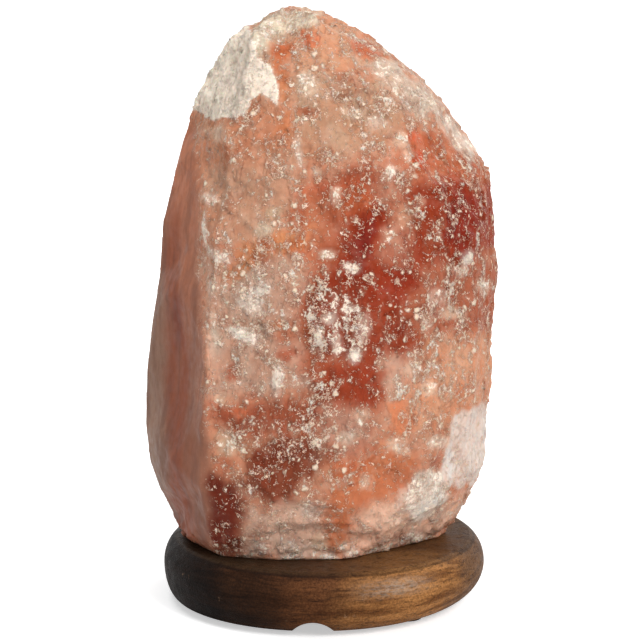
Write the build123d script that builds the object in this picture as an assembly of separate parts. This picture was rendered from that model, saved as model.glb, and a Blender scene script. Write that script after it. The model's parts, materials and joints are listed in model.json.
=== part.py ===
from build123d import *
import math
import os

# Salt crystal lamp. Millimetres, +Z up. The origin lies on the floor, on the axis of the base's bore,
# and -Y is the front, where the cord channel leaves the base.

# ---------------------------------------------------------------- driving sizes
CLEAR = 0.3              # air between parts that stay apart
SLIP = 0.1               # radial play of parts that are put together by hand
RUN = 0.05               # radial play of parts that turn in each other
THROUGH = 1.0            # how far a cutter runs past a face

# wooden base
BASE_R = 60.0            # widest ring
BASE_THICK = 22.0
BASE_TOP_ROUND = 5.5     # from the flat of the top out to the widest ring
BASE_UNDER_ROUND = 6.5   # from the widest ring in to the edge of the underside
BASE_RING_UP = 12.0      # widest ring above the underside
BASE_LEAN = -3.0         # the underside lies off centre to the left, as hand turning left it
EDGE_CREASE = 70.0       # degrees of the rounding that are turned before it meets the flats
EDGE_RINGS = 8           # circles that shape each rounding
RECESS_DEEP = 7.0        # round recess under the base, where the clip's tabs lie
RECESS_ROOM = 5.0        # recess radius beyond the bore
BORE_AIR = 1.35          # between the clip's rolled eyes and the bore
ARCH_WIDE = 15.0         # cord channel: an arch cut across the underside to the front
ARCH_HIGH = 4.5
ARCH_X = -4.0

# feet
FOOT_R = 6.0
FOOT_THICK = 3.0
FOOT_SUNK = 1.0
FOOT_EDGE = 2.0          # between a foot and the edge of the underside
FOOT_COUNT = 4
TACK_R = 0.8
TACK_HEAD_R = 2.4
TACK_HEAD_THICK = 0.8
TACK_LENGTH = 10.0
TACK_HEAD_UP = 0.9       # tack head above the foot's sole

# screws that hold the stone
SCREW_R = 2.25
SCREW_LENGTH = 38.0
SCREW_HEAD_R = 4.0
SCREW_HEAD_THICK = 2.5
SCREW_SLOT_DEEP = 1.3
SCREW_SLOT_WIDE = 1.2
SCREW_TIP = 4.0
WASHER_R = 4.7
WASHER_THICK = 1.0
COUNTERBORE_DEEP = 8.0
COUNTERBORE_WALL = 3.0   # wood between the recess and a counterbore
PLUG_R = 4.0
PLUG_LENGTH = 25.0
PLUG_SLIT = 0.8

# stone: outline of the hewn block at each height above the base, as left, right, front and back
STONE_LEVELS = [
    (0, -54, 46, -39, 40),
    (7, -59, 50.5, -43, 44),
    (15, -62.5, 55, -46, 48),
    (26, -65.5, 60, -49, 52),
    (42, -67, 61.5, -51, 55),
    (62, -66.2, 62.5, -52, 56),
    (80, -64, 62.8, -52, 56),
    (98, -61, 64.5, -50, 55),
    (118, -59.5, 62.8, -47, 53),
    (136, -55, 61.5, -43, 49),
    (149, -51.5, 52.5, -39, 45),
    (163, -46.8, 42, -34, 40),
    (175, -40, 29.5, -28, 34),
    (186, -33, 16.5, -21, 26),
    (194, -20, 1, -12, 16),
]
STONE_HEIGHT = 196.5
STONE_PEAK = (-14, 2)
# corners of the outline, going round from the left, as shares of its half width and half depth
STONE_CORNERS = [
    (-1.00, 0.00), (-0.86, -0.44), (-0.66, -0.88), (-0.26, -1.00), (0.20, -0.98), (0.60, -0.80),
    (0.87, -0.44), (1.00, 0.04), (0.87, 0.54), (0.52, 0.88), (0.04, 1.00), (-0.46, 0.90), (-0.84, 0.54),
]
STONE_ROUGH = 1.5        # how far the corners stray in and out
STONE_STEP = 2.5         # up and down
STONE_ASIDE = 4.5        # and along the outline, except at the left front arris
STONE_ARRIS = 2          # the arris, counted from the left end
STONE_LUMP = 1.8         # how far a flake's middle stands out of the block or lies sunk in it
STONE_LUMP_ASIDE = 0.22  # how far that middle strays towards a corner of its flake, as a share
# flats struck off the block: a point as x, y and height above the base, then azimuth and tilt of the face
STONE_FLATS = [
    (20, -28, 0, -49, -36),
    (43, -30, 26, -44, -20),
    (-31, -30, 172, -122, 24),
    (18, -25, 176, -62, 42),
    (50, -24, 126, -38, 16),
    (-44, 30, 16, 150, -26),
    (30, 44, 120, 52, 12),
    (-38, 39, 60, 128, -3),
    (-12, 44, 150, 95, 28),
    (20, 47, 20, 68, -20),
]
# hollow chips: the middle of each as x, y and height, the way it faces, its radius and its depth
STONE_CHIPS = [
    (-54, -22, 70, -152, 2, 120, 2.0),
    (-8, -50, 108, -92, 4, 110, 2.0),
    (36, -42, 70, -60, 0, 80, 2.4),
    (14, -34, 156, -70, 26, 70, 2.2),
    (48, 34, 64, 38, 0, 80, 3.0),
    (-16, 52, 110, 102, 6, 90, 3.0),
    (-50, 30, 120, 145, 10, 70, 2.8),
]
CAVITY_STEP = 3.0        # the stone is bored wider than the base
CAVITY_HEADROOM = 7.0    # above the bulb when it is unscrewed
CAVITY_ROUND = 8.0       # rounded end of the boring

# lampholder
HOLDER_UP = 5.0          # its lower end above the base's underside
HOLDER_R = 13.5
HOLDER_CAP_HIGH = 13.0
HOLDER_CAP_WALL = 2.5
HOLDER_CAP_FLOOR = 5.0
HOLDER_CAP_TAPER = 4.5
HOLDER_SHELL_HIGH = 29.0
SPIGOT_HIGH = 1.8
SPIGOT_WALL = 1.2
CORD_HOLE_R = 3.6
FLANGE_WIDE = 1.7        # collar that the clip's saddle lies on
FLANGE_THICK = 3.0
FLANGE_UP = 6.5          # collar above the shell's lower end
RING_WALL = 2.1
RING_HIGH = 5.0
RING_GRIPS = 18
RING_GRIP_R = 0.8
CARRIER_R = 10.5
CARRIER_THICK = 5.0

# spring clip
SHEET = 0.8
CLIP_WIDE = 8.0
CLIP_PIVOT_OUT = 0.75    # between the ring nut and a rolled eye
CLIP_TOUCH_DOWN = 15.0   # from the pivot down to where a wing meets the bore
CLIP_TAB_DOWN = 23.0     # from the pivot down to the finger tab
CLIP_TAB_IN = 1.0        # the wing draws in again below the touching point
CLIP_TAB_EDGE = 2.0      # between the tab's end and the recess wall
CLIP_BEND_R = 2.0
CLIP_SQUEEZE = 8.0       # degrees that a wing can be squeezed in
EYE_SLOT_MORE = 6.0      # degrees of slot in the eye beyond the squeeze

# contacts and terminals
CONTACT_SHEET = 0.5
SOCKET_HIGH = 18.0       # threaded brass shell
SOCKET_RIM_FROM = 3.0    # its foot is cut back to this side of the axis
RIVET_R = 0.9
RIVET_HEAD_R = 1.5
RIVET_HEAD_THICK = 0.5
RIVET_OUT = 5.2
RIVET_SUNK = 1.5
LEAF_WIDE = 4.0
LEAF_RISE = 1.7
TERMINAL_WIDE = 5.0
TERMINAL_HIGH = 7.0
WIRE_HOLE_R = 1.2
WIRE_HOLE_DEEP = 4.0
CLAMP_SCREW_R = 1.2
CLAMP_SCREW_LENGTH = 2.6
CLAMP_HEAD_R = 1.9
CLAMP_HEAD_THICK = 1.1

# bulb
BULB_R = 13.0
BULB_LENGTH = 57.0
BULB_NECK_R = 6.5
BULB_SHOULDER_HIGH = 12.0
GLASS_WALL = 0.8
CAP_R = 6.95             # over the crests of the thread
CAP_SHEET = 0.35
CAP_HIGH = 16.0
CAP_OVERLAP = 4.5        # glass neck inside the cap
THREAD_PITCH = 2.822
THREAD_TURNS = 4
TIP_R = 2.2
TIP_HIGH = 1.5
INSULATOR_HIGH = 3.2
INSULATOR_SEAT = 3.0     # its height inside the cap
STEM_R = 2.4
STEM_HIGH = 15.0
STEM_FOOT_THICK = 1.5
LEAD_R = 0.35
LEAD_IN = 1.5            # lead wires from the axis, where they leave the stem
LEAD_OUT = 5.0           # and at the filament
LEAD_HIGH = 9.0
FILAMENT_R = 0.3
FILAMENT_RISE = 1.2
SUPPORT_R = 0.2

# ---------------------------------------------------------------- heights and radii that follow
under_z = FOOT_THICK - FOOT_SUNK
top_z = under_z + BASE_THICK
recess_z = under_z + RECESS_DEEP
ring_z = under_z + BASE_RING_UP
base_under_r = BASE_R - BASE_UNDER_ROUND
foot_ring_r = base_under_r - abs(BASE_LEAN) - FOOT_EDGE - FOOT_R

cap_z = under_z + HOLDER_UP
shell_z = cap_z + HOLDER_CAP_HIGH
shell_top_z = shell_z + HOLDER_SHELL_HIGH
carrier_z = shell_z + SPIGOT_HIGH + CLEAR
socket_z = carrier_z + CARRIER_THICK
flange_z = shell_z + FLANGE_UP
saddle_z = flange_z + FLANGE_THICK
nut_z = saddle_z + SHEET
pivot_z = saddle_z + SHEET / 2
nut_r = HOLDER_R + RING_WALL
bead_r = SHEET
eye_in_r = bead_r + RUN
eye_r = eye_in_r + SHEET
pivot_x = nut_r + CLIP_PIVOT_OUT + eye_r

bore_r = pivot_x + eye_r + BORE_AIR
recess_r = bore_r + RECESS_ROOM
counterbore_r = WASHER_R + CLEAR
screw_x = recess_r + COUNTERBORE_WALL + counterbore_r
washer_z = under_z + COUNTERBORE_DEEP - WASHER_THICK
plug_hole_r = PLUG_R + SLIP

leaf_top_z = socket_z + CONTACT_SHEET + LEAF_RISE
tip_z = leaf_top_z + CLEAR
insulator_z = tip_z + TIP_HIGH
bulb_cap_z = insulator_z + INSULATOR_HIGH
bulb_cap_top_z = bulb_cap_z + CAP_HIGH
glass_z = bulb_cap_top_z - CAP_OVERLAP
bulb_top_z = tip_z + BULB_LENGTH
socket_in_r = CAP_R + RUN
socket_r = socket_in_r + CONTACT_SHEET
stem_top_z = glass_z + STEM_FOOT_THICK + STEM_HIGH
filament_z = stem_top_z + LEAD_HIGH

cavity_r = bore_r + CAVITY_STEP
cavity_top_z = bulb_top_z + THREAD_TURNS * THREAD_PITCH + CAVITY_HEADROOM

UP = (Align.CENTER, Align.CENTER, Align.MIN)


# ---------------------------------------------------------------- helpers
def rod(radius, low, high, x=0.0, y=0.0):
    """An upright cylinder between two heights."""
    return Pos(x, y, low) * Cylinder(radius, high - low, align=UP)


def tube(outer, inner, low, high, x=0.0, y=0.0):
    """An upright tube between two heights."""
    return rod(outer, low, high, x, y) - rod(inner, low - THROUGH, high + THROUGH, x, y)


def cone(low_r, high_r, low, high):
    """An upright cone on the lamp's axis."""
    return Pos(0, 0, low) * Cone(low_r, high_r, high - low, align=UP)


def turned(points):
    """A body of revolution about the lamp's axis, from its outline in radius and height."""
    outline = make_face(Polyline(*[(radius, 0, height) for radius, height in points], close=True))
    return revolve(outline, Axis.Z)


def both_sides(part):
    """A piece and its twin on the other side of the lamp's axis."""
    return [part, Rot(0, 0, 180) * part]


def foot_places():
    """Centres of the feet, on the diagonals of the base."""
    for number in range(FOOT_COUNT):
        angle = math.radians(360 / FOOT_COUNT * (number + 0.5))
        yield foot_ring_r * math.cos(angle), foot_ring_r * math.sin(angle)


# ---------------------------------------------------------------- stone and base
def stray(ring, corner):
    """A fixed, uneven number from -1 to 1 for each corner of the hewn block."""
    return math.sin(12.9 * ring + 7.3 * corner + 1.7 * ring * corner)


def stone_corner(ring, corner):
    """A corner of the rough block. The far left and right ones stray to the back and front alone, so that
    the block keeps its measured outline from the front."""
    height, left, right, front, back = STONE_LEVELS[ring]
    across, deep = STONE_CORNERS[corner]
    x = (left + right) / 2 + across * (right - left) / 2
    y = (front + back) / 2 + deep * (back - front) / 2
    if abs(across) == 1:
        y += STONE_ASIDE * stray(ring + 5, corner)
    elif ring > 0:
        distance = math.hypot(x, y)
        out = STONE_ROUGH * stray(ring, corner) / distance
        along = 0 if corner == STONE_ARRIS else STONE_ASIDE * stray(ring + 5, corner) / distance
        x, y = x + out * x - along * y, y + out * y + along * x
        height += STONE_STEP * stray(corner, ring + 3)
    return Vector(x, y, top_z + height)


def flat(*corners):
    """A flat face between its corners."""
    return Face(Wire.make_polygon(corners, close=True))


def flake_middle(ring, corner, outline):
    """A point near the middle of a flake's four corners, which stands out of them or lies sunk."""
    low_left, low_right, high_right, high_left = outline
    across = 0.5 + STONE_LUMP_ASIDE * stray(ring + 2, corner)
    up = 0.5 + STONE_LUMP_ASIDE * stray(ring, corner + 4)
    low = low_left + (low_right - low_left) * across
    high = high_left + (high_right - high_left) * across
    out = (high_right - low_left).cross(high_left - low_right).normalized()
    return low + (high - low) * up + out * (STONE_LUMP * stray(ring + 7, corner + 1))


def rough_block():
    """The hewn block: rings of corners with a flake of four flat facets between each four, and one peak."""
    count = len(STONE_CORNERS)
    rings = [[stone_corner(ring, corner) for corner in range(count)] for ring in range(len(STONE_LEVELS))]
    facets = [flat(*rings[0])]
    for number, (low, high) in enumerate(zip(rings, rings[1:])):
        for here in range(count):
            after = (here + 1) % count
            outline = (low[here], low[after], high[after], high[here])
            middle = flake_middle(number, here, outline)
            facets += [flat(start, end, middle) for start, end in zip(outline, outline[1:] + outline[:1])]
    peak = Vector(*STONE_PEAK, top_z + STONE_HEIGHT)
    facets += [flat(rings[-1][here], rings[-1][(here + 1) % count], peak) for here in range(count)]
    return Solid(Shell(facets))


def outward(azimuth, tilt):
    """The direction that a face of the stone looks in."""
    turn, lift = math.radians(azimuth), math.radians(tilt)
    return Vector(math.cos(lift) * math.cos(turn), math.cos(lift) * math.sin(turn), math.sin(lift))


def hewn_stone():
    """The rough block after its flat blows and its hollow chips."""
    stone = rough_block()
    for x, y, height, azimuth, tilt in STONE_FLATS:
        face = Plane(origin=(x, y, top_z + height), z_dir=outward(azimuth, tilt))
        stone = split(stone, bisect_by=face, keep=Keep.BOTTOM)
    for x, y, height, azimuth, tilt, radius, depth in STONE_CHIPS:
        centre = Vector(x, y, top_z + height) + outward(azimuth, tilt) * (radius - depth)
        stone -= Pos(centre) * Sphere(radius)
    return stone


def salt_crystal():
    """The block of rock salt, bored from below for the bulb and for the two screw plugs."""
    stone = hewn_stone()
    boring = rod(cavity_r, top_z - THROUGH, cavity_top_z)
    boring = fillet(boring.edges().group_by(Axis.Z)[-1], CAVITY_ROUND)
    stone -= boring
    for x in (-screw_x, screw_x):
        stone -= rod(plug_hole_r, top_z - THROUGH, top_z + PLUG_LENGTH + CLEAR + SLIP, x)
    return stone


def base_rings():
    """Circles of the turned edge, from the underside up to the flat of the top."""
    full = math.radians(EDGE_CREASE)
    for number in range(-EDGE_RINGS, EDGE_RINGS + 1):
        turn = abs(number) / EDGE_RINGS * full
        inward = (1 - math.cos(turn)) / (1 - math.cos(full))
        away = math.sin(turn) / math.sin(full)
        if number < 0:
            place = Pos(BASE_LEAN * inward, 0, ring_z - BASE_RING_UP * away)
            yield place * Circle(BASE_R - BASE_UNDER_ROUND * inward)
        else:
            yield Pos(0, 0, ring_z + (top_z - ring_z) * away) * Circle(BASE_R - BASE_TOP_ROUND * inward)


def cord_arch():
    """The cutter of the cord channel: a long round bar that leaves an arch in the underside."""
    arch_r = (ARCH_WIDE ** 2 / 4 + ARCH_HIGH ** 2) / (2 * ARCH_HIGH)
    length = BASE_R + THROUGH - bore_r
    bar = Rot(90, 0, 0) * Cylinder(arch_r, length)
    return Pos(ARCH_X, -bore_r - length / 2, under_z + ARCH_HIGH - arch_r) * bar


def wooden_base():
    """The turned base with its bore, underside recess, cord channel and fixing holes."""
    base = loft(list(base_rings()))
    base -= rod(bore_r, under_z, top_z + THROUGH)
    base -= rod(recess_r, under_z - THROUGH, recess_z)
    base -= cord_arch()
    for x in (-screw_x, screw_x):
        base -= rod(counterbore_r, under_z - THROUGH, under_z + COUNTERBORE_DEEP, x)
        base -= rod(SCREW_R + SLIP, under_z, top_z + THROUGH, x)
    for x, y in foot_places():
        base -= rod(FOOT_R + SLIP, under_z - THROUGH, FOOT_THICK, x, y)
        base -= rod(TACK_R + RUN, under_z, TACK_HEAD_UP + TACK_LENGTH + CLEAR, x, y)
    return base


# ---------------------------------------------------------------- fixings
def crystal_screw(x):
    """A slotted pan head screw, driven upwards through the base into its plug."""
    head_z = washer_z - SCREW_HEAD_THICK
    head = Pos(x, 0, head_z) * Cylinder(SCREW_HEAD_R, SCREW_HEAD_THICK, align=UP)
    head = fillet(head.edges().group_by(Axis.Z)[0], SCREW_HEAD_THICK / 2)
    slot = Pos(x, 0, head_z) * Box(2 * SCREW_HEAD_R + THROUGH, SCREW_SLOT_WIDE, 2 * SCREW_SLOT_DEEP)
    shank_top = washer_z + SCREW_LENGTH - SCREW_TIP
    shank = rod(SCREW_R, washer_z, shank_top, x)
    tip = Pos(x, 0, shank_top) * Cone(SCREW_R, SCREW_R / 6, SCREW_TIP, align=UP)
    return head - slot + shank + tip


def crystal_screws():
    return Compound(children=[crystal_screw(x) for x in (-screw_x, screw_x)])


def screw_washers():
    hole_r = SCREW_R + SLIP
    rings = [tube(WASHER_R, hole_r, washer_z, washer_z + WASHER_THICK, x) for x in (-screw_x, screw_x)]
    return Compound(children=rings)


def crystal_plug(x):
    """A nylon plug: whole in its lower third, then slit so that it spreads."""
    plug = tube(PLUG_R, SCREW_R + RUN, top_z + SLIP, top_z + SLIP + PLUG_LENGTH, x)
    slit_from = top_z + PLUG_LENGTH / 3
    slit = Pos(x, 0, slit_from) * Box(3 * PLUG_R, PLUG_SLIT, PLUG_LENGTH, align=UP)
    return plug - slit


def crystal_plugs():
    return Compound(children=[crystal_plug(x) for x in (-screw_x, screw_x)])


def rubber_foot(x, y):
    """A round foot with a countersunk hole for its tack."""
    foot = Pos(x, y, 0) * Cylinder(FOOT_R, FOOT_THICK, align=UP)
    foot = chamfer(foot.edges().group_by(Axis.Z)[0], FOOT_SUNK / 2)
    foot -= rod(TACK_R + SLIP, -THROUGH, FOOT_THICK + THROUGH, x, y)
    return foot - rod(TACK_HEAD_R + SLIP, -THROUGH, TACK_HEAD_UP + TACK_HEAD_THICK, x, y)


def rubber_feet():
    return Compound(children=[rubber_foot(x, y) for x, y in foot_places()])


def foot_tack(x, y):
    head = rod(TACK_HEAD_R, TACK_HEAD_UP, TACK_HEAD_UP + TACK_HEAD_THICK, x, y)
    head = chamfer(head.edges().group_by(Axis.Z)[0], TACK_HEAD_THICK / 2)
    shank_top = TACK_HEAD_UP + TACK_LENGTH - 2 * TACK_R
    shank = rod(TACK_R, TACK_HEAD_UP, shank_top, x, y)
    tip = Pos(x, y, shank_top) * Cone(TACK_R, TACK_R / 6, 2 * TACK_R, align=UP)
    return head + shank + tip


def foot_tacks():
    return Compound(children=[foot_tack(x, y) for x, y in foot_places()])


# ---------------------------------------------------------------- lampholder
def holder_shell():
    """The moulded body: a collar for the clip, a pocket for the carrier and the socket above it."""
    shell = rod(HOLDER_R, shell_z, shell_top_z) + rod(HOLDER_R + FLANGE_WIDE, flange_z, saddle_z)
    shell -= rod(CARRIER_R + SLIP, shell_z - THROUGH, socket_z)
    shell -= rod(socket_r + SLIP, socket_z - THROUGH, shell_top_z + THROUGH)
    mouth = (HOLDER_R - socket_r) / 3
    rims = shell.edges().filter_by(GeomType.CIRCLE).group_by(Axis.Z)[-1]
    return chamfer(rims.sort_by(SortBy.RADIUS)[0], mouth)


def holder_cap():
    """The lower cover: a tapered cup with a spigot, and the cord's hole in its thick floor."""
    spigot_r = CARRIER_R
    hollow_r = HOLDER_R - HOLDER_CAP_WALL
    cap = cone(HOLDER_R - HOLDER_CAP_TAPER, HOLDER_R, cap_z, cap_z + HOLDER_CAP_TAPER)
    cap += rod(HOLDER_R, cap_z + HOLDER_CAP_TAPER, shell_z)
    cap += rod(spigot_r, shell_z - THROUGH, shell_z + SPIGOT_HIGH)
    cap -= rod(hollow_r, cap_z + HOLDER_CAP_FLOOR, shell_z - SPIGOT_WALL)
    cap -= rod(spigot_r - SPIGOT_WALL, cap_z + HOLDER_CAP_FLOOR, shell_z + SPIGOT_HIGH + THROUGH)
    return cap - rod(CORD_HOLE_R, cap_z - THROUGH, cap_z + HOLDER_CAP_FLOOR + THROUGH)


def clip_ring_nut():
    """The ring that clamps the saddle, with grip hollows round it."""
    nut = tube(nut_r, HOLDER_R + SLIP, nut_z, nut_z + RING_HIGH)
    for number in range(RING_GRIPS):
        grip = rod(RING_GRIP_R, nut_z - THROUGH, nut_z + RING_HIGH + THROUGH, nut_r + RING_GRIP_R / 3)
        nut -= Rot(0, 0, 360 / RING_GRIPS * number) * grip
    return nut


def cross_rod(radius, x, z, width):
    """A cylinder that lies along Y."""
    return Pos(x, 0, z) * Rot(90, 0, 0) * Cylinder(radius, width)


def clip_saddle():
    """The clip's sheet steel saddle: a ring on the collar, with a beaded arm to each wing."""
    arm = Pos(pivot_x / 2, 0, saddle_z) * Box(pivot_x, CLIP_WIDE, SHEET, align=UP)
    arm += cross_rod(bead_r, pivot_x, pivot_z, CLIP_WIDE)
    ring = rod(nut_r, saddle_z, nut_z)
    for side in both_sides(arm):
        ring += side
    return ring - rod(HOLDER_R + SLIP, saddle_z - THROUGH, nut_z + THROUGH)


def clip_wing():
    """The right wing: an eye rolled round the saddle's bead, a leg to the bore and a finger tab."""
    touch_x = math.sqrt(bore_r ** 2 - CLIP_WIDE ** 2 / 4) - CLEAR - SHEET / 2
    bend_x = touch_x - CLIP_TAB_IN
    tab_x = recess_r - CLIP_TAB_EDGE
    top = (pivot_x + (eye_in_r + eye_r) / 2, pivot_z)
    touch = (touch_x, pivot_z - CLIP_TOUCH_DOWN)
    bend = (bend_x, pivot_z - CLIP_TAB_DOWN)
    tab = (tab_x, pivot_z - CLIP_TAB_DOWN)
    path = FilletPolyline(top, touch, bend, tab, radius=CLIP_BEND_R)
    leg = extrude(Plane.XZ * trace(path, SHEET), CLIP_WIDE / 2, both=True)
    eye = cross_rod(eye_r, pivot_x, pivot_z, CLIP_WIDE)
    wing = leg + eye - cross_rod(eye_in_r, pivot_x, pivot_z, CLIP_WIDE + THROUGH)
    return wing - eye_slot()


def eye_slot():
    """The gap in the eye that the saddle's arm comes through, with room for the squeeze."""
    half = math.degrees(math.asin(SHEET / 2 / eye_in_r))
    low = math.radians(180 + half + EYE_SLOT_MORE + CLIP_SQUEEZE)
    high = math.radians(180 - half - EYE_SLOT_MORE)
    far = 3 * eye_r
    centre = (pivot_x, pivot_z)
    ends = [(pivot_x + far * math.cos(angle), pivot_z + far * math.sin(angle)) for angle in (low, high)]
    wedge = Plane.XZ * make_face(Polyline(centre, *ends, close=True))
    return extrude(wedge, CLIP_WIDE, both=True)


def left_clip_wing():
    return Rot(0, 0, 180) * clip_wing()


def contact_carrier():
    """The ceramic disc, with a hole for each rivet."""
    disc = rod(CARRIER_R, carrier_z, socket_z)
    for x in (-RIVET_OUT, RIVET_OUT):
        disc -= rod(RIVET_R + RUN, carrier_z - THROUGH, socket_z + THROUGH, x)
    return disc


def screw_shell():
    """The brass shell of the socket. Its foot is a half moon under the right rivet."""
    shell = tube(socket_r, socket_in_r, socket_z, socket_z + SOCKET_HIGH)
    foot = rod(socket_r, socket_z, socket_z + CONTACT_SHEET)
    foot -= Pos(SOCKET_RIM_FROM, 0, socket_z) * Box(
        4 * socket_r, 4 * socket_r, 4 * CONTACT_SHEET, align=(Align.MAX, Align.CENTER, Align.CENTER)
    )
    return shell + foot - rod(RIVET_R + RUN, socket_z - THROUGH, socket_z + THROUGH, RIVET_OUT)


def centre_contact():
    """The sprung leaf: flat under the left rivet, then rising to the bulb's tip."""
    foot_end = -RIVET_OUT + RIVET_HEAD_R + CONTACT_SHEET
    outline = [
        (-RIVET_OUT - RIVET_HEAD_R / 2, socket_z),
        (foot_end, socket_z),
        (TIP_R, leaf_top_z - CONTACT_SHEET),
        (TIP_R, leaf_top_z),
        (-TIP_R / 2, leaf_top_z),
        (foot_end - CONTACT_SHEET / 2, socket_z + CONTACT_SHEET),
        (-RIVET_OUT - RIVET_HEAD_R / 2, socket_z + CONTACT_SHEET),
    ]
    face = Plane.XZ * make_face(Polyline(*outline, close=True))
    leaf = extrude(face, LEAF_WIDE / 2, both=True)
    return leaf - rod(RIVET_R + RUN, socket_z - THROUGH, socket_z + CONTACT_SHEET + THROUGH, -RIVET_OUT)


def contact_rivets():
    head_z = socket_z + CONTACT_SHEET
    rivets = []
    for x in (-RIVET_OUT, RIVET_OUT):
        shank = rod(RIVET_R, carrier_z - RIVET_SUNK, head_z, x)
        rivets.append(shank + rod(RIVET_HEAD_R, head_z, head_z + RIVET_HEAD_THICK, x))
    return Compound(children=rivets)


def wire_terminal():
    """The right terminal block, with its rivet hole, wire hole and clamp screw hole."""
    low = carrier_z - TERMINAL_HIGH
    block = Pos(RIVET_OUT, 0, low) * Box(TERMINAL_WIDE, TERMINAL_WIDE, TERMINAL_HIGH, align=UP)
    block -= rod(RIVET_R + RUN, carrier_z - RIVET_SUNK - RUN, carrier_z + THROUGH, RIVET_OUT)
    block -= rod(WIRE_HOLE_R, low - THROUGH, low + WIRE_HOLE_DEEP, RIVET_OUT)
    screw_z = low + WIRE_HOLE_DEEP / 2
    hole = Pos(RIVET_OUT, 0, screw_z) * Rot(0, 90, 0) * Cylinder(
        CLAMP_SCREW_R + RUN, TERMINAL_WIDE, align=UP
    )
    return block - hole


def wire_terminals():
    return Compound(children=both_sides(wire_terminal()))


def terminal_screw():
    """The right clamp screw, which is driven in from outside."""
    screw_z = carrier_z - TERMINAL_HIGH + WIRE_HOLE_DEEP / 2
    face_x = RIVET_OUT + TERMINAL_WIDE / 2
    shank = Pos(face_x - CLAMP_SCREW_LENGTH, 0, screw_z) * Rot(0, 90, 0) * Cylinder(
        CLAMP_SCREW_R, CLAMP_SCREW_LENGTH, align=UP
    )
    head = Pos(face_x, 0, screw_z) * Rot(0, 90, 0) * Cylinder(CLAMP_HEAD_R, CLAMP_HEAD_THICK, align=UP)
    slot = Pos(face_x + CLAMP_HEAD_THICK, 0, screw_z) * Box(CLAMP_HEAD_THICK, 3 * CLAMP_HEAD_R, CONTACT_SHEET)
    return shank + head - slot


def terminal_screws():
    return Compound(children=both_sides(terminal_screw()))


# ---------------------------------------------------------------- bulb
def glass_outline(inset):
    """Half of the bulb's outline: neck, shoulder, straight side and round top, drawn in by a wall."""
    neck_top = bulb_cap_top_z + THROUGH
    shoulder_top = neck_top + BULB_SHOULDER_HIGH
    dome_z = bulb_top_z - BULB_R
    neck = Line((BULB_NECK_R - inset, glass_z), (BULB_NECK_R - inset, neck_top))
    shoulder = Spline(neck @ 1, (BULB_R - inset, shoulder_top), tangents=((0, 1), (0, 1)))
    side = Line(shoulder @ 1, (BULB_R - inset, dome_z))
    dome = CenterArc((0, dome_z), BULB_R - inset, 0, 90)
    axis = Polyline((0, bulb_top_z - inset), (0, glass_z), (BULB_NECK_R - inset, glass_z))
    return Plane.XZ * make_face(neck + shoulder + side + dome + axis)


def bulb_glass():
    """The thin glass, open at the neck, where the stem closes it."""
    return revolve(glass_outline(0), Axis.Z) - revolve(glass_outline(GLASS_WALL), Axis.Z)


def bulb_cap():
    """The cap's sheet metal shell, open at the top for the neck and narrowed at the bottom."""
    inner = CAP_R - CAP_SHEET
    lip = inner - CAP_SHEET
    return turned([
        (lip, bulb_cap_z), (CAP_R, bulb_cap_z + 2 * CAP_SHEET), (CAP_R, bulb_cap_top_z),
        (inner, bulb_cap_top_z), (inner, bulb_cap_z + 3 * CAP_SHEET), (lip, bulb_cap_z + CAP_SHEET),
    ])


def cap_insulator():
    """The black glass cone at the cap's lower end, with the hole of the solder tip."""
    rim_r = CAP_R - 2 * CAP_SHEET - RUN
    glass = cone(TIP_R + THROUGH, rim_r, insulator_z, bulb_cap_z)
    glass += rod(rim_r, bulb_cap_z, bulb_cap_z + INSULATOR_SEAT)
    return glass - rod(TIP_R / 2 + RUN, insulator_z - THROUGH, insulator_z + INSULATOR_HIGH / 2)


def bulb_contact():
    """The solder tip: a domed button with a short stud in the insulator."""
    button = Pos(0, 0, tip_z) * Cylinder(TIP_R, TIP_HIGH - RUN, align=UP)
    button = fillet(button.edges().group_by(Axis.Z)[0], TIP_HIGH / 2)
    return button + rod(TIP_R / 2, tip_z + TIP_HIGH / 2, insulator_z + INSULATOR_HIGH / 2 - RUN)


def glass_stem():
    """The glass mount: a foot that closes the neck and a stem that carries the wires."""
    foot_r = BULB_NECK_R - GLASS_WALL - RUN
    stem = rod(foot_r, glass_z, glass_z + STEM_FOOT_THICK)
    stem += cone(foot_r - THROUGH, STEM_R, glass_z + STEM_FOOT_THICK, glass_z + 3 * STEM_FOOT_THICK)
    return stem + rod(STEM_R, glass_z + STEM_FOOT_THICK, stem_top_z)


def lead_wire():
    """The right lead wire: straight out of the stem, then bent out to the filament's end."""
    low = (LEAD_IN, 0, stem_top_z)
    knee = (LEAD_IN, 0, stem_top_z + LEAD_HIGH / 4)
    high = (LEAD_OUT, 0, filament_z)
    path = FilletPolyline(low, knee, high, radius=3 * LEAD_R)
    return sweep(Plane(low, z_dir=(0, 0, 1)) * Circle(LEAD_R), path)


def lead_wires():
    return Compound(children=both_sides(lead_wire()))


def filament():
    """The wound wire as a fine arc between the ends of the lead wires."""
    start = Vector(-LEAD_OUT, 0, filament_z + LEAD_R + FILAMENT_R)
    end = Vector(LEAD_OUT, 0, filament_z + LEAD_R + FILAMENT_R)
    top = Vector(0, 0, filament_z + LEAD_R + FILAMENT_R + FILAMENT_RISE)
    path = ThreePointArc(start, top, end)
    return sweep(Plane(start, z_dir=path % 0) * Circle(FILAMENT_R), path)


def filament_support():
    """A straight wire from the stem to the middle of the filament."""
    return rod(SUPPORT_R, stem_top_z, filament_z + LEAD_R + FILAMENT_RISE)


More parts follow.
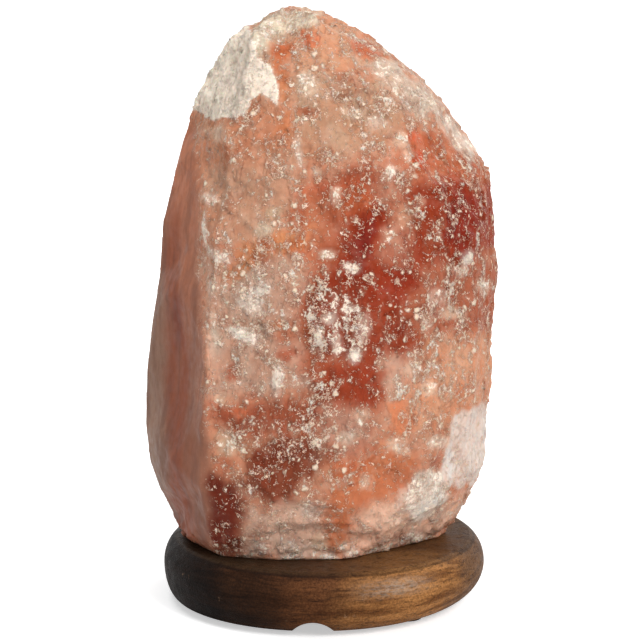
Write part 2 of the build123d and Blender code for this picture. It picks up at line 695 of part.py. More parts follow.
# ---------------------------------------------------------------- write every piece
PIECES = {
    "salt_crystal": salt_crystal,
    "wooden_base": wooden_base,
    "crystal_screws": crystal_screws,
    "screw_washers": screw_washers,
    "crystal_plugs": crystal_plugs,
    "rubber_feet": rubber_feet,
    "foot_tacks": foot_tacks,
    "holder_shell": holder_shell,
    "holder_cap": holder_cap,
    "clip_ring_nut": clip_ring_nut,
    "clip_saddle": clip_saddle,
    "left_clip_wing": left_clip_wing,
    "right_clip_wing": clip_wing,
    "contact_carrier": contact_carrier,
    "screw_shell": screw_shell,
    "centre_contact": centre_contact,
    "contact_rivets": contact_rivets,
    "wire_terminals": wire_terminals,
    "terminal_screws": terminal_screws,
    "bulb_glass": bulb_glass,
    "bulb_cap": bulb_cap,
    "cap_insulator": cap_insulator,
    "bulb_contact": bulb_contact,
    "glass_stem": glass_stem,
    "lead_wires": lead_wires,
    "filament_support": filament_support,
    "filament": filament,
}

os.makedirs("parts", exist_ok=True)
for name, make in PIECES.items():
    export_step(make(), f"parts/{name}.step")
print("written", len(PIECES), "pieces; overall height", round(top_z + STONE_HEIGHT, 1))
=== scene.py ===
import json
import math

import bmesh
import bpy
import numpy as np
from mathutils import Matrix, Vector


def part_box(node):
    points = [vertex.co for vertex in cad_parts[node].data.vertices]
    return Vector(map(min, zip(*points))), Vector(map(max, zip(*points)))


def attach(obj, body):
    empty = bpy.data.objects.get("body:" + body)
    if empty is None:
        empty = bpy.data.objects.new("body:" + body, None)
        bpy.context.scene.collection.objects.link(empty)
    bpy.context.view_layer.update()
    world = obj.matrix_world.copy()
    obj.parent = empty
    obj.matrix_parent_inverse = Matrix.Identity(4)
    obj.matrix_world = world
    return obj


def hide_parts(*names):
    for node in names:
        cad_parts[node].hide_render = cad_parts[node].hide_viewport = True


# Looks of the salt crystal lamp. Metres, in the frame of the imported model: +Z up, -Y to the front.

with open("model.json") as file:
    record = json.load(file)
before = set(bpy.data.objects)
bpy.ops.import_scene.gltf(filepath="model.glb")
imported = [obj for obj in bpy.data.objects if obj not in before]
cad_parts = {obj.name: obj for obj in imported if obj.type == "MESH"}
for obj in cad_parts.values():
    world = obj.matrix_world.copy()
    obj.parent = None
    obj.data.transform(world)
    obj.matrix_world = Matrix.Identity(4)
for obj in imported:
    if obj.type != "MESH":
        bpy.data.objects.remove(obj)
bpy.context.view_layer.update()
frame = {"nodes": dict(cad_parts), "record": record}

MM = 0.001
scene = bpy.context.scene

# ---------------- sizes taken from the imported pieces
STONE_LOW, STONE_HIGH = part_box("salt_crystal")
CAP_LOW, CAP_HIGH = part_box("bulb_cap")
SOCKET_LOW, SOCKET_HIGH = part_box("screw_shell")
SCREWS_LOW, SCREWS_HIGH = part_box("crystal_screws")
FILAMENT_LOW, FILAMENT_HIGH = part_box("filament")
TOP_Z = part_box("wooden_base")[1].z


# ================ nodes and colours
class Nodes:
    """A cleared node tree, with short ways to add the nodes that the materials are made of."""

    def __init__(self, tree):
        self.tree = tree
        tree.nodes.clear()

    def node(self, kind, settings=None, **inputs):
        """A new node. Inputs are given by name with _ for spaces, or by number as in0, in1 and so on: a
        socket is linked, a value is set."""
        node = self.tree.nodes.new(kind)
        for key, value in (settings or {}).items():
            setattr(node, key, value)
        for key, value in inputs.items():
            socket = node.inputs[int(key[2:]) if key.startswith("in") else key.replace("_", " ")]
            if isinstance(value, bpy.types.NodeSocket):
                self.tree.links.new(value, socket)
            else:
                socket.default_value = value
        return node

    def put(self, kind, settings=None, out=0, **inputs):
        """One output of a new node."""
        return self.node(kind, settings, **inputs).outputs[out]

    def place(self):
        return self.put("ShaderNodeTexCoord", out="Object")

    def layer(self, name, out="Fac"):
        return self.put("ShaderNodeAttribute", {"attribute_name": name}, out)

    def calc(self, operation, *values):
        numbered = {f"in{number}": value for number, value in enumerate(values)}
        return self.put("ShaderNodeMath", {"operation": operation}, **numbered)

    def times(self, total, *values):
        for value in values:
            total = self.calc("MULTIPLY", total, value)
        return total

    def plus(self, a, b):
        return self.calc("ADD", a, b)

    def larger(self, a, b):
        return self.calc("MAXIMUM", a, b)

    def off_middle(self, value):
        """How far a value lies from one half."""
        return self.calc("ABSOLUTE", self.calc("SUBTRACT", value, 0.5))

    def vector(self, operation, out=0, **inputs):
        return self.put("ShaderNodeVectorMath", {"operation": operation}, out, **inputs)

    def ramp(self, value, low, high, out_low=0.0, out_high=1.0):
        """A value mapped smoothly from one range onto another."""
        return self.put("ShaderNodeMapRange", {"interpolation_type": "SMOOTHSTEP"}, Value=value,
                        From_Min=low, From_Max=high, To_Min=out_low, To_Max=out_high)

    def mixed(self, share, a, b, blend="MIX"):
        """Two colours mixed by a share."""
        return self.put("ShaderNodeMix", {"data_type": "RGBA", "blend_type": blend}, 2,
                        in0=share, in6=a, in7=b)

    def dyed(self, share, colour, by):
        """A colour, multiplied by another one as far as the share says."""
        return self.mixed(share, colour, by, "MULTIPLY")

    def grey(self, value):
        return self.put("ShaderNodeCombineColor", Red=value, Green=value, Blue=value)

    def noise(self, place, scale, detail=3.0, rough=0.55):
        return self.put("ShaderNodeTexNoise", Vector=place, Scale=scale, Detail=detail, Roughness=rough)

    def stretched(self, place, scale):
        return self.put("ShaderNodeMapping", Vector=place, Scale=scale)

    def warped(self, place, scale, amount):
        """The place, moved about by noise."""
        turn = self.put("ShaderNodeTexNoise", out="Color", Vector=place, Scale=scale, Detail=2.0)
        away = self.vector("SUBTRACT", in0=turn, in1=(0.5, 0.5, 0.5))
        return self.vector("ADD", in0=place, in1=self.vector("SCALE", in0=away, Scale=amount))

    def chips(self, place, size, keep):
        """Scattered round chips in a share of cells of about one size in metres."""
        cells = self.node("ShaderNodeTexVoronoi", Vector=place, Scale=1 / size).outputs
        chosen = self.calc("LESS_THAN", self.put("ShaderNodeSeparateColor", Color=cells["Color"]), keep)
        return self.times(chosen, self.ramp(cells["Distance"], *CHIP_EDGE))

    def bump(self, strength, distance, height):
        return self.put("ShaderNodeBump", Strength=strength, Distance=distance, Height=height)

    def surface(self, **inputs):
        shader = self.put("ShaderNodeBsdfPrincipled", **inputs)
        self.node("ShaderNodeOutputMaterial", Surface=shader)


def new_material(name):
    """A new material and its nodes."""
    material = bpy.data.materials.new(name)
    material.use_nodes = True
    return material, Nodes(material.node_tree)


def linear(rgb):
    """A colour written as it looks, from 0 to 255, as the shader wants it."""
    value = np.array(rgb, float) / 255
    return np.where(value <= 0.04045, value / 12.92, ((value + 0.055) / 1.055) ** 2.4)


def shade(rgb):
    """The same with an alpha of 1, for a colour socket."""
    return (*linear(rgb), 1.0)


VEIL = 0.018  # white that the surface's own sheen adds to a colour


def pigment(rgb):
    """A colour of the stone as it looks, less the veil of its sheen."""
    return np.maximum(linear(rgb) - VEIL, 0.2 * linear(rgb))


# ================ camera, light and floor
CAMERA_PLACE = (-1.52 * MM, -1.0, 300.7 * MM)
CAMERA_DOWN = 11.07  # degrees below the horizon
CAMERA_LENS = 155.03  # mm on a 36 mm sensor
SENSOR = 36.0
LOOK_AT = (0, 0, 0.11)
LIGHTS = {  # place, size in metres and watts
    "key_light": ((0.72, -0.95, 0.90), 0.6, 14.5),
    "fill_light": ((-1.1, -0.8, 0.5), 0.9, 1.2),
    "top_light": ((-0.25, -0.1, 1.3), 0.7, 7.0),
    "back_light": ((0.9, 0.9, 0.8), 0.8, 4.0),
}
WORLD_LIGHT = 0.28
WHITE = (1, 1, 1, 1)
FLOOR_COLOUR = (0.93, 0.93, 0.93, 1)
FLOOR_SIZE = 8
FLOOR_NEAR, FLOOR_FAR = 0.12, 0.7  # metres from the lamp, between which the floor's glow rises to 1
FLOOR_GLOW = 0.50  # near the lamp


def set_camera():
    data = bpy.data.cameras.new("camera")
    data.lens = CAMERA_LENS
    data.sensor_width = SENSOR
    data.clip_start = 0.01
    camera = bpy.data.objects.new("camera", data)
    camera.location = CAMERA_PLACE
    camera.rotation_euler = (math.radians(90 - CAMERA_DOWN), 0, 0)
    scene.collection.objects.link(camera)
    scene.camera = camera
    scene.view_settings.view_transform = "Standard"


def area_light(name, place, size, watts):
    """A square soft light that looks at the lamp."""
    data = bpy.data.lights.new(name, "AREA")
    data.shape = "SQUARE"
    data.size = size
    data.energy = watts
    light = bpy.data.objects.new(name, data)
    light.location = place
    away = np.array(place, float) - np.array(LOOK_AT, float)
    flat = math.hypot(away[0], away[1])
    light.rotation_euler = (math.atan2(flat, away[2]), 0, math.atan2(away[0], -away[1]))
    scene.collection.objects.link(light)


def set_world():
    """Soft light on the object, and plain white where a camera, glossy or transmission ray looks."""
    world = bpy.data.worlds.new("studio")
    scene.world = world
    world.use_nodes = True
    n = Nodes(world.node_tree)
    rays = n.node("ShaderNodeLightPath").outputs
    seen = n.larger(n.larger(rays["Is Camera Ray"], rays["Is Glossy Ray"]), rays["Is Transmission Ray"])
    soft = n.put("ShaderNodeBackground", Color=WHITE, Strength=WORLD_LIGHT)
    white = n.put("ShaderNodeBackground", Color=WHITE, Strength=1.0)
    n.node("ShaderNodeOutputWorld", Surface=n.put("ShaderNodeMixShader", in0=seen, in1=soft, in2=white))


def set_floor():
    """A plain white floor, which keeps the object's shadow."""
    material, n = new_material("floor_paper")
    plain = n.put("ShaderNodeBsdfDiffuse", Color=FLOOR_COLOUR)
    away = n.vector("LENGTH", "Value", in0=n.place())
    glow = n.ramp(away, FLOOR_NEAR, FLOOR_FAR, FLOOR_GLOW, 1.0)
    glow = n.put("ShaderNodeEmission", Color=WHITE, Strength=glow)
    both = n.put("ShaderNodeAddShader", in0=plain, in1=glow)
    camera_ray = n.put("ShaderNodeLightPath", out="Is Camera Ray")
    mix = n.put("ShaderNodeMixShader", in0=camera_ray, in1=plain, in2=both)
    n.node("ShaderNodeOutputMaterial", Surface=mix)
    bpy.ops.mesh.primitive_plane_add(size=FLOOR_SIZE, location=(0, 0, 0))
    floor = bpy.context.object
    floor.name = "floor"
    floor.data.materials.append(material)


set_camera()
for name, settings in LIGHTS.items():
    area_light(name, *settings)
set_world()
set_floor()


# ================ helpers for meshes
def vectors(mesh, kind):
    """The place ("co") or the "normal" of every point of a mesh."""
    values = np.empty(len(mesh.vertices) * 3)
    mesh.vertices.foreach_get(kind, values)
    return values.reshape(-1, 3)


def smoothstep(low, high, value):
    t = np.clip((value - low) / (high - low), 0, 1)
    return t * t * (3 - 2 * t)


def hashed(cells, seed):
    """A fixed uneven number from 0 to 1 for each whole-number cell, scattered by large odd factors."""
    x, y, z = cells[:, 0], cells[:, 1], cells[:, 2]
    mixed = (x * 73856093) ^ (y * 19349663) ^ (z * 83492791) ^ (seed * 26544357)
    mixed = ((mixed ^ (mixed >> 13)) * 1274126177) & 0xFFFFFFFF
    mixed = ((mixed ^ (mixed >> 16)) * 668265263) & 0xFFFFFFFF
    return ((mixed ^ (mixed >> 15)) & 0xFFFFFF) / 0xFFFFFF


def soft_noise(points, size, seed):
    """Smooth noise from -1 to 1 with lumps of about that size."""
    place = points / size
    cell = np.floor(place).astype(np.int64)
    part = place - cell
    part = part * part * (3 - 2 * part)
    total = np.zeros(len(points))
    for corner in range(8):
        step = np.array([corner & 1, corner >> 1 & 1, corner >> 2 & 1])
        share = np.prod(np.where(step == 1, part, 1 - part), axis=1)
        total += share * hashed(cell + step, seed)
    return 2 * total - 1


def layered_noise(points, size, seed, layers=4):
    """Soft noise with finer and weaker noise on it."""
    total = np.zeros(len(points))
    for layer in range(layers):
        total += soft_noise(points, size / 2 ** layer, seed + 17 * layer) / 2 ** layer
    return total / 1.6


def facets(points, size, seed):
    """Height of a surface broken into small tilted flats, from about -1 to 1."""
    place = points / size
    cell = np.floor(place).astype(np.int64)
    best = np.full(len(points), 1e9)
    height = np.zeros(len(points))
    for step in np.ndindex(3, 3, 3):
        near = cell + np.array(step) - 1
        centre = near + np.stack([hashed(near, seed + n) for n in (1, 2, 3)], axis=1)
        away = place - centre
        distance = (away ** 2).sum(axis=1)
        lean = np.stack([hashed(near, seed + n) for n in (4, 5, 6)], axis=1) * 2 - 1
        own = (away * lean).sum(axis=1) + hashed(near, seed + 7) - 0.5
        closer = distance < best
        best = np.where(closer, distance, best)
        height = np.where(closer, own, height)
    return height


def float_layer(mesh, name, values):
    layer = mesh.attributes.new(name, "FLOAT", "POINT")
    layer.data.foreach_set("value", np.asarray(values, np.float32))


def colour_layer(mesh, name, values):
    layer = mesh.attributes.new(name, "FLOAT_COLOR", "POINT")
    full = np.ones((len(values), 4), np.float32)
    full[:, :3] = values
    layer.data.foreach_set("color", full.ravel())


# ================ materials
# the pink's clouds: what they multiply it by, size in metres, noise range in which it comes in, most of it
SALT_CLOUDS = [
    ((1.02, 0.87, 0.80), 0.014, 0.48, 0.66, 0.60),
    ((1.02, 1.20, 1.30), 0.012, 0.48, 0.64, 0.75),
    ((0.78, 0.60, 0.55), 0.008, 0.52, 0.68, 0.75),
]
SALT_TALL = (1.0, 1.0, 0.70)  # scale of the pattern, whose crystals are a little longer upwards
# painted shade: dyes for the gaps between crystals and for thin upright cracks
GAP_SHADE, SEAM_SHADE = (0.58, 0.37, 0.29, 1.0), (0.50, 0.36, 0.32, 1.0)
HAZE = (214, 172, 148)
# white crumbs: noise scale, its roughness, most of the haze around them, and where they begin
SALT_CRUMBS = [(230, 0.62, 0.30, 0.700), (420, 0.58, 0.22, 0.680)]
CRUMB_LIFT = 0.150  # how much sooner they begin where the stone is at its most crumbly
CRUMB_RIM, CRUMB_CORE = (246, 196, 162), (255, 246, 232)
# larger cream chips of white salt, partly painted glints: size of their cells in metres, and the share of
# cells that hold one
SALT_CHIPS_AND_GLINTS = [(0.0036, 0.11), (0.0023, 0.10)]
CHIP_EDGE = (0.42, 0.17)  # from a cell's middle, in cells, between which a chip comes in
CHIP_AND_GLINT_COLOUR = (255, 234, 208)
# painted highlights, thin bright glints along the edges of crystals: noise scale, and how far from its
# middle value they reach
SALT_EDGE_GLINTS = [(260, 0.020), (460, 0.034), (780, 0.050)]
GLINT_GOLD, GLINT_WHITE = (250, 204, 168), (255, 240, 224)
# the crust's chalk, and the painted shade of its hollows
CHALK, CHALK_HOLLOW_SHADE = (254, 238, 220), (190, 162, 138)
SIDE_STREAK = (104, 68, 56)


def salt_material():
    """Pink rock salt, coloured by the layers that are painted on the stone's mesh."""
    material, n = new_material("rock_salt")
    place = n.place()
    stain = n.layer("stain", "Color")
    frost, sparkle, side = n.layer("frost"), n.layer("sparkle"), n.layer("side")
    front = n.calc("SUBTRACT", 1.0, side)

    # clouds of the pink: orange, greyish and dark red
    tall = n.stretched(place, SALT_TALL)
    clumps = n.ramp(n.noise(n.warped(tall, 120, 0.01), 125, 4, 0.65), 0.42, 0.60)
    busy = n.times(n.plus(0.16, n.times(clumps, 1.04)), sparkle)
    colour = stain
    for cloud, size, low, high, most in SALT_CLOUDS:
        share = n.ramp(n.noise(n.warped(tall, 160, 0.008), 1 / size, 4, 0.6), low, high, 0, most)
        colour = n.dyed(n.times(share, front), colour, (*cloud, 1.0))
    grain = n.grey(n.ramp(n.noise(tall, 520, 5, 0.8), 0.38, 0.62, 0.78, 1.20))
    colour = n.dyed(n.plus(0.25, n.times(busy, 0.75)), colour, grain)

    # painted shade: dark gaps between crystals
    gap_shade = n.ramp(n.noise(n.warped(tall, 500, 0.002), 420, 5, 0.75), 0.45, 0.37)
    colour = n.dyed(n.times(gap_shade, n.times(busy, busy)), colour, GAP_SHADE)

    # painted shade: thin dark upright cracks
    upright = n.stretched(n.warped(place, 90, 0.004), (1.0, 1.0, 0.34))
    seam_shade = n.ramp(n.off_middle(n.noise(upright, 75, 4, 0.55)), 0.016, 0.003)
    seam_shade = n.times(seam_shade, n.ramp(n.noise(place, 60, 2), 0.54, 0.62, 0.0, 0.6), front)
    colour = n.dyed(seam_shade, colour, SEAM_SHADE)

    # crumbs of white salt at two sizes, each in a pale haze of its own, which is weak on dark red
    green = n.put("ShaderNodeSeparateColor", out="Green", Color=stain)
    takes_haze = n.times(front, n.ramp(green, 0.03, 0.20, 0.25, 1.0))
    carve = n.ramp(n.noise(place, 1400, 3, 0.65), 0.43, 0.54)
    lift = n.times(busy, CRUMB_LIFT)
    whites = []
    for scale, turn, haze_most, crumb_low in SALT_CRUMBS:
        around = n.warped(tall, scale * 0.8, 0.9 / scale)
        haze = n.ramp(n.plus(n.noise(around, scale, 1.5, 0.5), lift), 0.56, 0.72, 0.0, haze_most)
        colour = n.mixed(n.times(haze, takes_haze), colour, (*pigment(HAZE), 1.0))
        sharp = n.plus(n.noise(around, scale, 6.0, turn), lift)
        crumb = n.times(n.ramp(sharp, crumb_low, crumb_low + 0.022), front)
        crumb = n.times(crumb, n.plus(0.12, n.times(carve, 0.88)))
        depth = n.ramp(sharp, crumb_low, crumb_low + 0.08)
        colour = n.mixed(n.times(crumb, 0.92), colour, n.mixed(depth, shade(CRUMB_RIM), shade(CRUMB_CORE)))
        whites.append(crumb)

    # larger cream chips of white salt, partly painted glints
    for size, keep in SALT_CHIPS_AND_GLINTS:
        chip_and_glint = n.chips(n.warped(place, 420, 0.0022), size, keep)
        chip_and_glint = n.times(chip_and_glint, n.times(front, n.ramp(busy, 0.12, 0.42)))
        colour = n.mixed(n.times(chip_and_glint, 0.85), colour, shade(CHIP_AND_GLINT_COLOUR))
        whites.append(chip_and_glint)

    # painted highlights: thin curled bright glints on the edges of crystals
    for scale, half_width in SALT_EDGE_GLINTS:
        edge = n.noise(n.warped(place, scale * 1.3, 1.3 / scale), scale, 2, 0.5)
        line = n.ramp(n.off_middle(edge), half_width, half_width * 0.35)
        stretch = n.plus(n.noise(place, scale * 0.7, 3, 0.6), n.times(busy, 0.11))
        line = n.times(line, n.ramp(stretch, 0.60, 0.65), n.times(front, 0.95))
        glint_tint = n.mixed(n.ramp(edge, 0.5 - half_width, 0.5 + half_width), shade(GLINT_GOLD), shade(GLINT_WHITE))
        colour = n.mixed(line, colour, glint_tint)
        whites.append(line)
    white = whites[0]
    for other in whites[1:]:
        white = n.larger(white, other)

    # frosty crust: chalky white, with painted shade greying its hollows
    crust = n.plus(n.noise(n.warped(place, 300, 0.003), 330, 5, 0.7), n.times(frost, 0.40))
    crust = n.times(n.ramp(crust, 0.66, 0.76), n.ramp(frost, 0.02, 0.15))
    open_part = n.ramp(n.noise(place, 850, 3, 0.65), 0.44, 0.53, 0.1, 1.0)
    crust = n.times(crust, n.larger(open_part, n.ramp(frost, 0.6, 0.85)))
    hollow_shade = n.ramp(n.noise(place, 760, 4, 0.75), 0.50, 0.68)
    chalk = n.mixed(n.times(hollow_shade, 0.75), shade(CHALK), shade(CHALK_HOLLOW_SHADE))
    chalk = n.mixed(n.ramp(frost, 0.85, 1.0, 0.0, 0.5), chalk, stain)
    colour = n.mixed(n.times(crust, 0.92), colour, chalk)

    # streaks down the smooth side face
    streak = n.stretched(n.warped(place, 60, 0.006), (1.0, 1.0, 0.12))
    streak = n.ramp(n.noise(streak, 190, 4, 0.6), 0.38, 0.66)
    colour = n.mixed(n.times(streak, n.times(side, 0.5)), colour, shade(SIDE_STREAK))

    rough = n.ramp(n.noise(place, 300, 3), 0.3, 0.7, 0.34, 0.60)
    rough = n.put("ShaderNodeMix", {"data_type": "FLOAT"}, in0=white, in2=rough, in3=0.24)
    gravel = n.times(n.noise(tall, 620, 5, 0.75), n.plus(0.15, n.times(busy, 1.7)))
    height = n.plus(n.times(white, 0.8), gravel)
    height = n.times(height, n.plus(0.10, n.times(front, 0.90)))
    n.surface(Base_Color=colour, Roughness=rough, Normal=n.bump(0.9, 0.0009, height), IOR=1.54,
              Specular_IOR_Level=0.13, Subsurface_Weight=0.15, Subsurface_Radius=(1.0, 0.38, 0.22),
              Subsurface_Scale=0.003)
    return material


SHADE_TO_LIGHT_FROM_TO = (-54 * MM, 46 * MM)  # across the base, where painted shade at the left gives way to painted light at the right, dark to golden
# wood tones in painted shade, in between, and in painted light: low and high ring colours of each
WOOD_SHADE_TO_LIGHT_TONES = [((14, 8, 6), (28, 18, 13)), ((62, 36, 20), (94, 58, 34)), ((108, 68, 36), (166, 115, 67))]
RIGHT_END_FROM_TO = (44 * MM, 58 * MM)  # and where it darkens again
WOOD_END, WOOD_TOP, WOOD_PORE, WOOD_DUST = (76, 56, 42), (66, 50, 35), (32, 19, 13), (190, 150, 116)
TOP_FROM_TO = (1.2 * MM, 0.3 * MM)  # depths below the top where the flat's own colour comes in
SHEEN_X_FROM_TO, SHEEN_X_END = (6 * MM, 24 * MM), (44 * MM, 28 * MM)  # painted highlight: a paler stretch of the rim where the key light would glint
SHEEN_Z_FROM_TO, SHEEN_Z_END = (13.5 * MM, 18 * MM), (23 * MM, 18.5 * MM)
SHEEN = (180, 164, 148)
CREASE_LOW, CREASE_MIDDLE, CREASE_HIGH = 1.7 * MM, 1.1 * MM, 0.3 * MM  # below the top, round the rim, where a dark line of painted shade runs
CREASE_SHADE = (26, 17, 12)


def wood_material():
    """A board cut flat, whose rings show as lines along the rim, with painted shade darkening it at the
    left, painted light turning it golden at the right, a painted highlight on the rim and a line of painted
    shade at its crease.
    """
    material, n = new_material("stained_wood")
    place = n.place()
    axes = n.node("ShaderNodeSeparateXYZ", Vector=place).outputs
    x, z = axes["X"], axes["Z"]
    layers = n.stretched(n.warped(place, 30, 0.006), (0.05, 0.14, 1.0))
    rings = n.ramp(n.noise(layers, 420, 5, 0.65), 0.36, 0.64)
    pores = n.ramp(n.noise(n.stretched(place, (0.22, 0.22, 1.0)), 1500, 3, 0.6), 0.54, 0.66)
    specks = n.ramp(n.noise(place, 1300, 4, 0.7), 0.36, 0.64, 0.62, 1.38)
    drifting = n.plus(x, n.times(n.plus(n.noise(place, 34, 3), -0.5), 0.04))
    lit_share = n.ramp(drifting, *SHADE_TO_LIGHT_FROM_TO)
    # painted shade darkens the wood at the left, painted light turns it golden at the right
    dark, middle, lit_golden = (n.mixed(rings, shade(low), shade(high)) for low, high in WOOD_SHADE_TO_LIGHT_TONES)
    colour = n.mixed(n.ramp(lit_share, 0.0, 0.5), dark, middle)
    colour = n.mixed(n.ramp(lit_share, 0.5, 1.0), colour, lit_golden)
    colour = n.mixed(n.ramp(drifting, *RIGHT_END_FROM_TO, 0.0, 0.7), colour, shade(WOOD_END))
    upper = n.ramp(z, TOP_Z - TOP_FROM_TO[0], TOP_Z - TOP_FROM_TO[1], 0.0, 0.55)
    colour = n.mixed(upper, colour, shade(WOOD_TOP))
    colour = n.dyed(0.75, colour, n.grey(specks))
    colour = n.mixed(n.times(pores, 0.5), colour, shade(WOOD_PORE))
    scuff = n.ramp(n.noise(place, 95, 6, 0.75), 0.62, 0.70)
    dust = n.times(scuff, n.ramp(n.noise(place, 1200, 3, 0.6), 0.45, 0.6), 0.35)
    colour = n.mixed(dust, colour, shade(WOOD_DUST))
    # painted highlight: a paler streaked sheen along the rim
    sheen_up = n.times(n.ramp(z, *SHEEN_Z_FROM_TO), n.ramp(z, *SHEEN_Z_END))
    sheen_across = n.times(n.ramp(x, *SHEEN_X_FROM_TO), n.ramp(x, *SHEEN_X_END))
    sheen_streaks = n.ramp(n.noise(n.stretched(place, (0.3, 0.3, 1.0)), 1100, 4, 0.7), 0.40, 0.60, 0.25, 1.0)
    colour = n.mixed(n.times(sheen_across, sheen_up, sheen_streaks, 0.46), colour, shade(SHEEN))
    # painted shade: a dark line in the crease between the top and the rim
    crease_shade = n.times(n.ramp(z, TOP_Z - CREASE_LOW, TOP_Z - CREASE_MIDDLE),
                     n.ramp(z, TOP_Z - CREASE_HIGH, TOP_Z - CREASE_MIDDLE))
    colour = n.mixed(n.times(crease_shade, 0.6), colour, shade(CREASE_SHADE))
    rough = n.ramp(n.noise(place, 260, 5, 0.7), 0.3, 0.7, 0.30, 0.52)
    height = n.plus(n.times(specks, 0.5), n.times(pores, -0.8))
    n.surface(Base_Color=colour, Roughness=rough, Normal=n.bump(0.45, 0.0004, height),
              Specular_IOR_Level=0.04)
    return material


def plain_material(name, light, dark, scale, rough, metal=0.0, bump=0.1):
    """A plain finish with slight mottling and scratches, in two close colours."""
    material, n = new_material(name)
    place = n.place()
    colour = n.mixed(n.ramp(n.noise(place, scale, 4), 0.35, 0.65), shade(dark), shade(light))
    scratch = n.noise(n.stretched(place, (1.0, 1.0, 14.0)), scale * 1.7, 3, 0.6)
    roughness = n.ramp(scratch, 0.3, 0.7, rough * 0.8, min(1.0, rough * 1.3))
    n.surface(Base_Color=colour, Roughness=roughness, Normal=n.bump(bump, 0.0002, scratch), Metallic=metal)
    return material


def glass_material():
    material, n = new_material("bulb_glass")
    smear = n.ramp(n.noise(n.place(), 120, 3), 0.4, 0.7, 0.01, 0.05)
    n.surface(Roughness=smear, Base_Color=(0.97, 0.98, 0.98, 1), IOR=1.47, Transmission_Weight=1.0)
    return material


# plain finishes: light and dark colour, noise scale, roughness, metal and bump
FINISHES = {
    "zinc_steel": ((200, 201, 200), (178, 180, 182), 500, 0.30, 1.0),
    "nylon": ((166, 168, 170), (160, 162, 164), 300, 0.5),
    "rubber": ((40, 39, 38), (24, 23, 23), 700, 0.8, 0.0, 0.4),
    "black_plastic": ((30, 29, 29), (18, 17, 17), 250, 0.28, 0.0, 0.08),
    "spring_steel": ((188, 187, 183), (168, 166, 162), 900, 0.28, 1.0),
    "white_ceramic": ((236, 232, 222), (222, 216, 204), 250, 0.18),
    "contact_brass": ((214, 174, 96), (194, 154, 82), 450, 0.28, 1.0),
    "solder": ((190, 190, 192), (164, 164, 168), 600, 0.42, 1.0),
    "cap_metal": ((206, 205, 202), (184, 182, 178), 420, 0.24, 1.0),
    "black_glass": ((28, 28, 34), (12, 12, 16), 300, 0.12),
    "wire_metal": ((170, 168, 164), (130, 128, 124), 900, 0.35, 1.0),
    "tungsten": ((110, 108, 106), (78, 76, 74), 1500, 0.5, 1.0),
}
MATERIALS = {"stained_wood": wood_material(), "bulb_glass": glass_material()}
MATERIALS |= {name: plain_material(name, *finish) for name, finish in FINISHES.items()}


# ================ the stone
VOXEL = 0.95 * MM  # spacing of the stone's mesh
BORING_R = 25.0 * MM  # round the bored cavity
BORING_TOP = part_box("bulb_glass")[1].z + 20 * MM
PLUG_HOLE_X = 34.0 * MM
PLUG_HOLE_R = 5.5 * MM
PLUG_HOLE_HIGH = 28.0 * MM
FOOT_PLAIN = (0.1 * MM, 1.5 * MM)  # above the wood, between which the stone's foot takes the broken surface

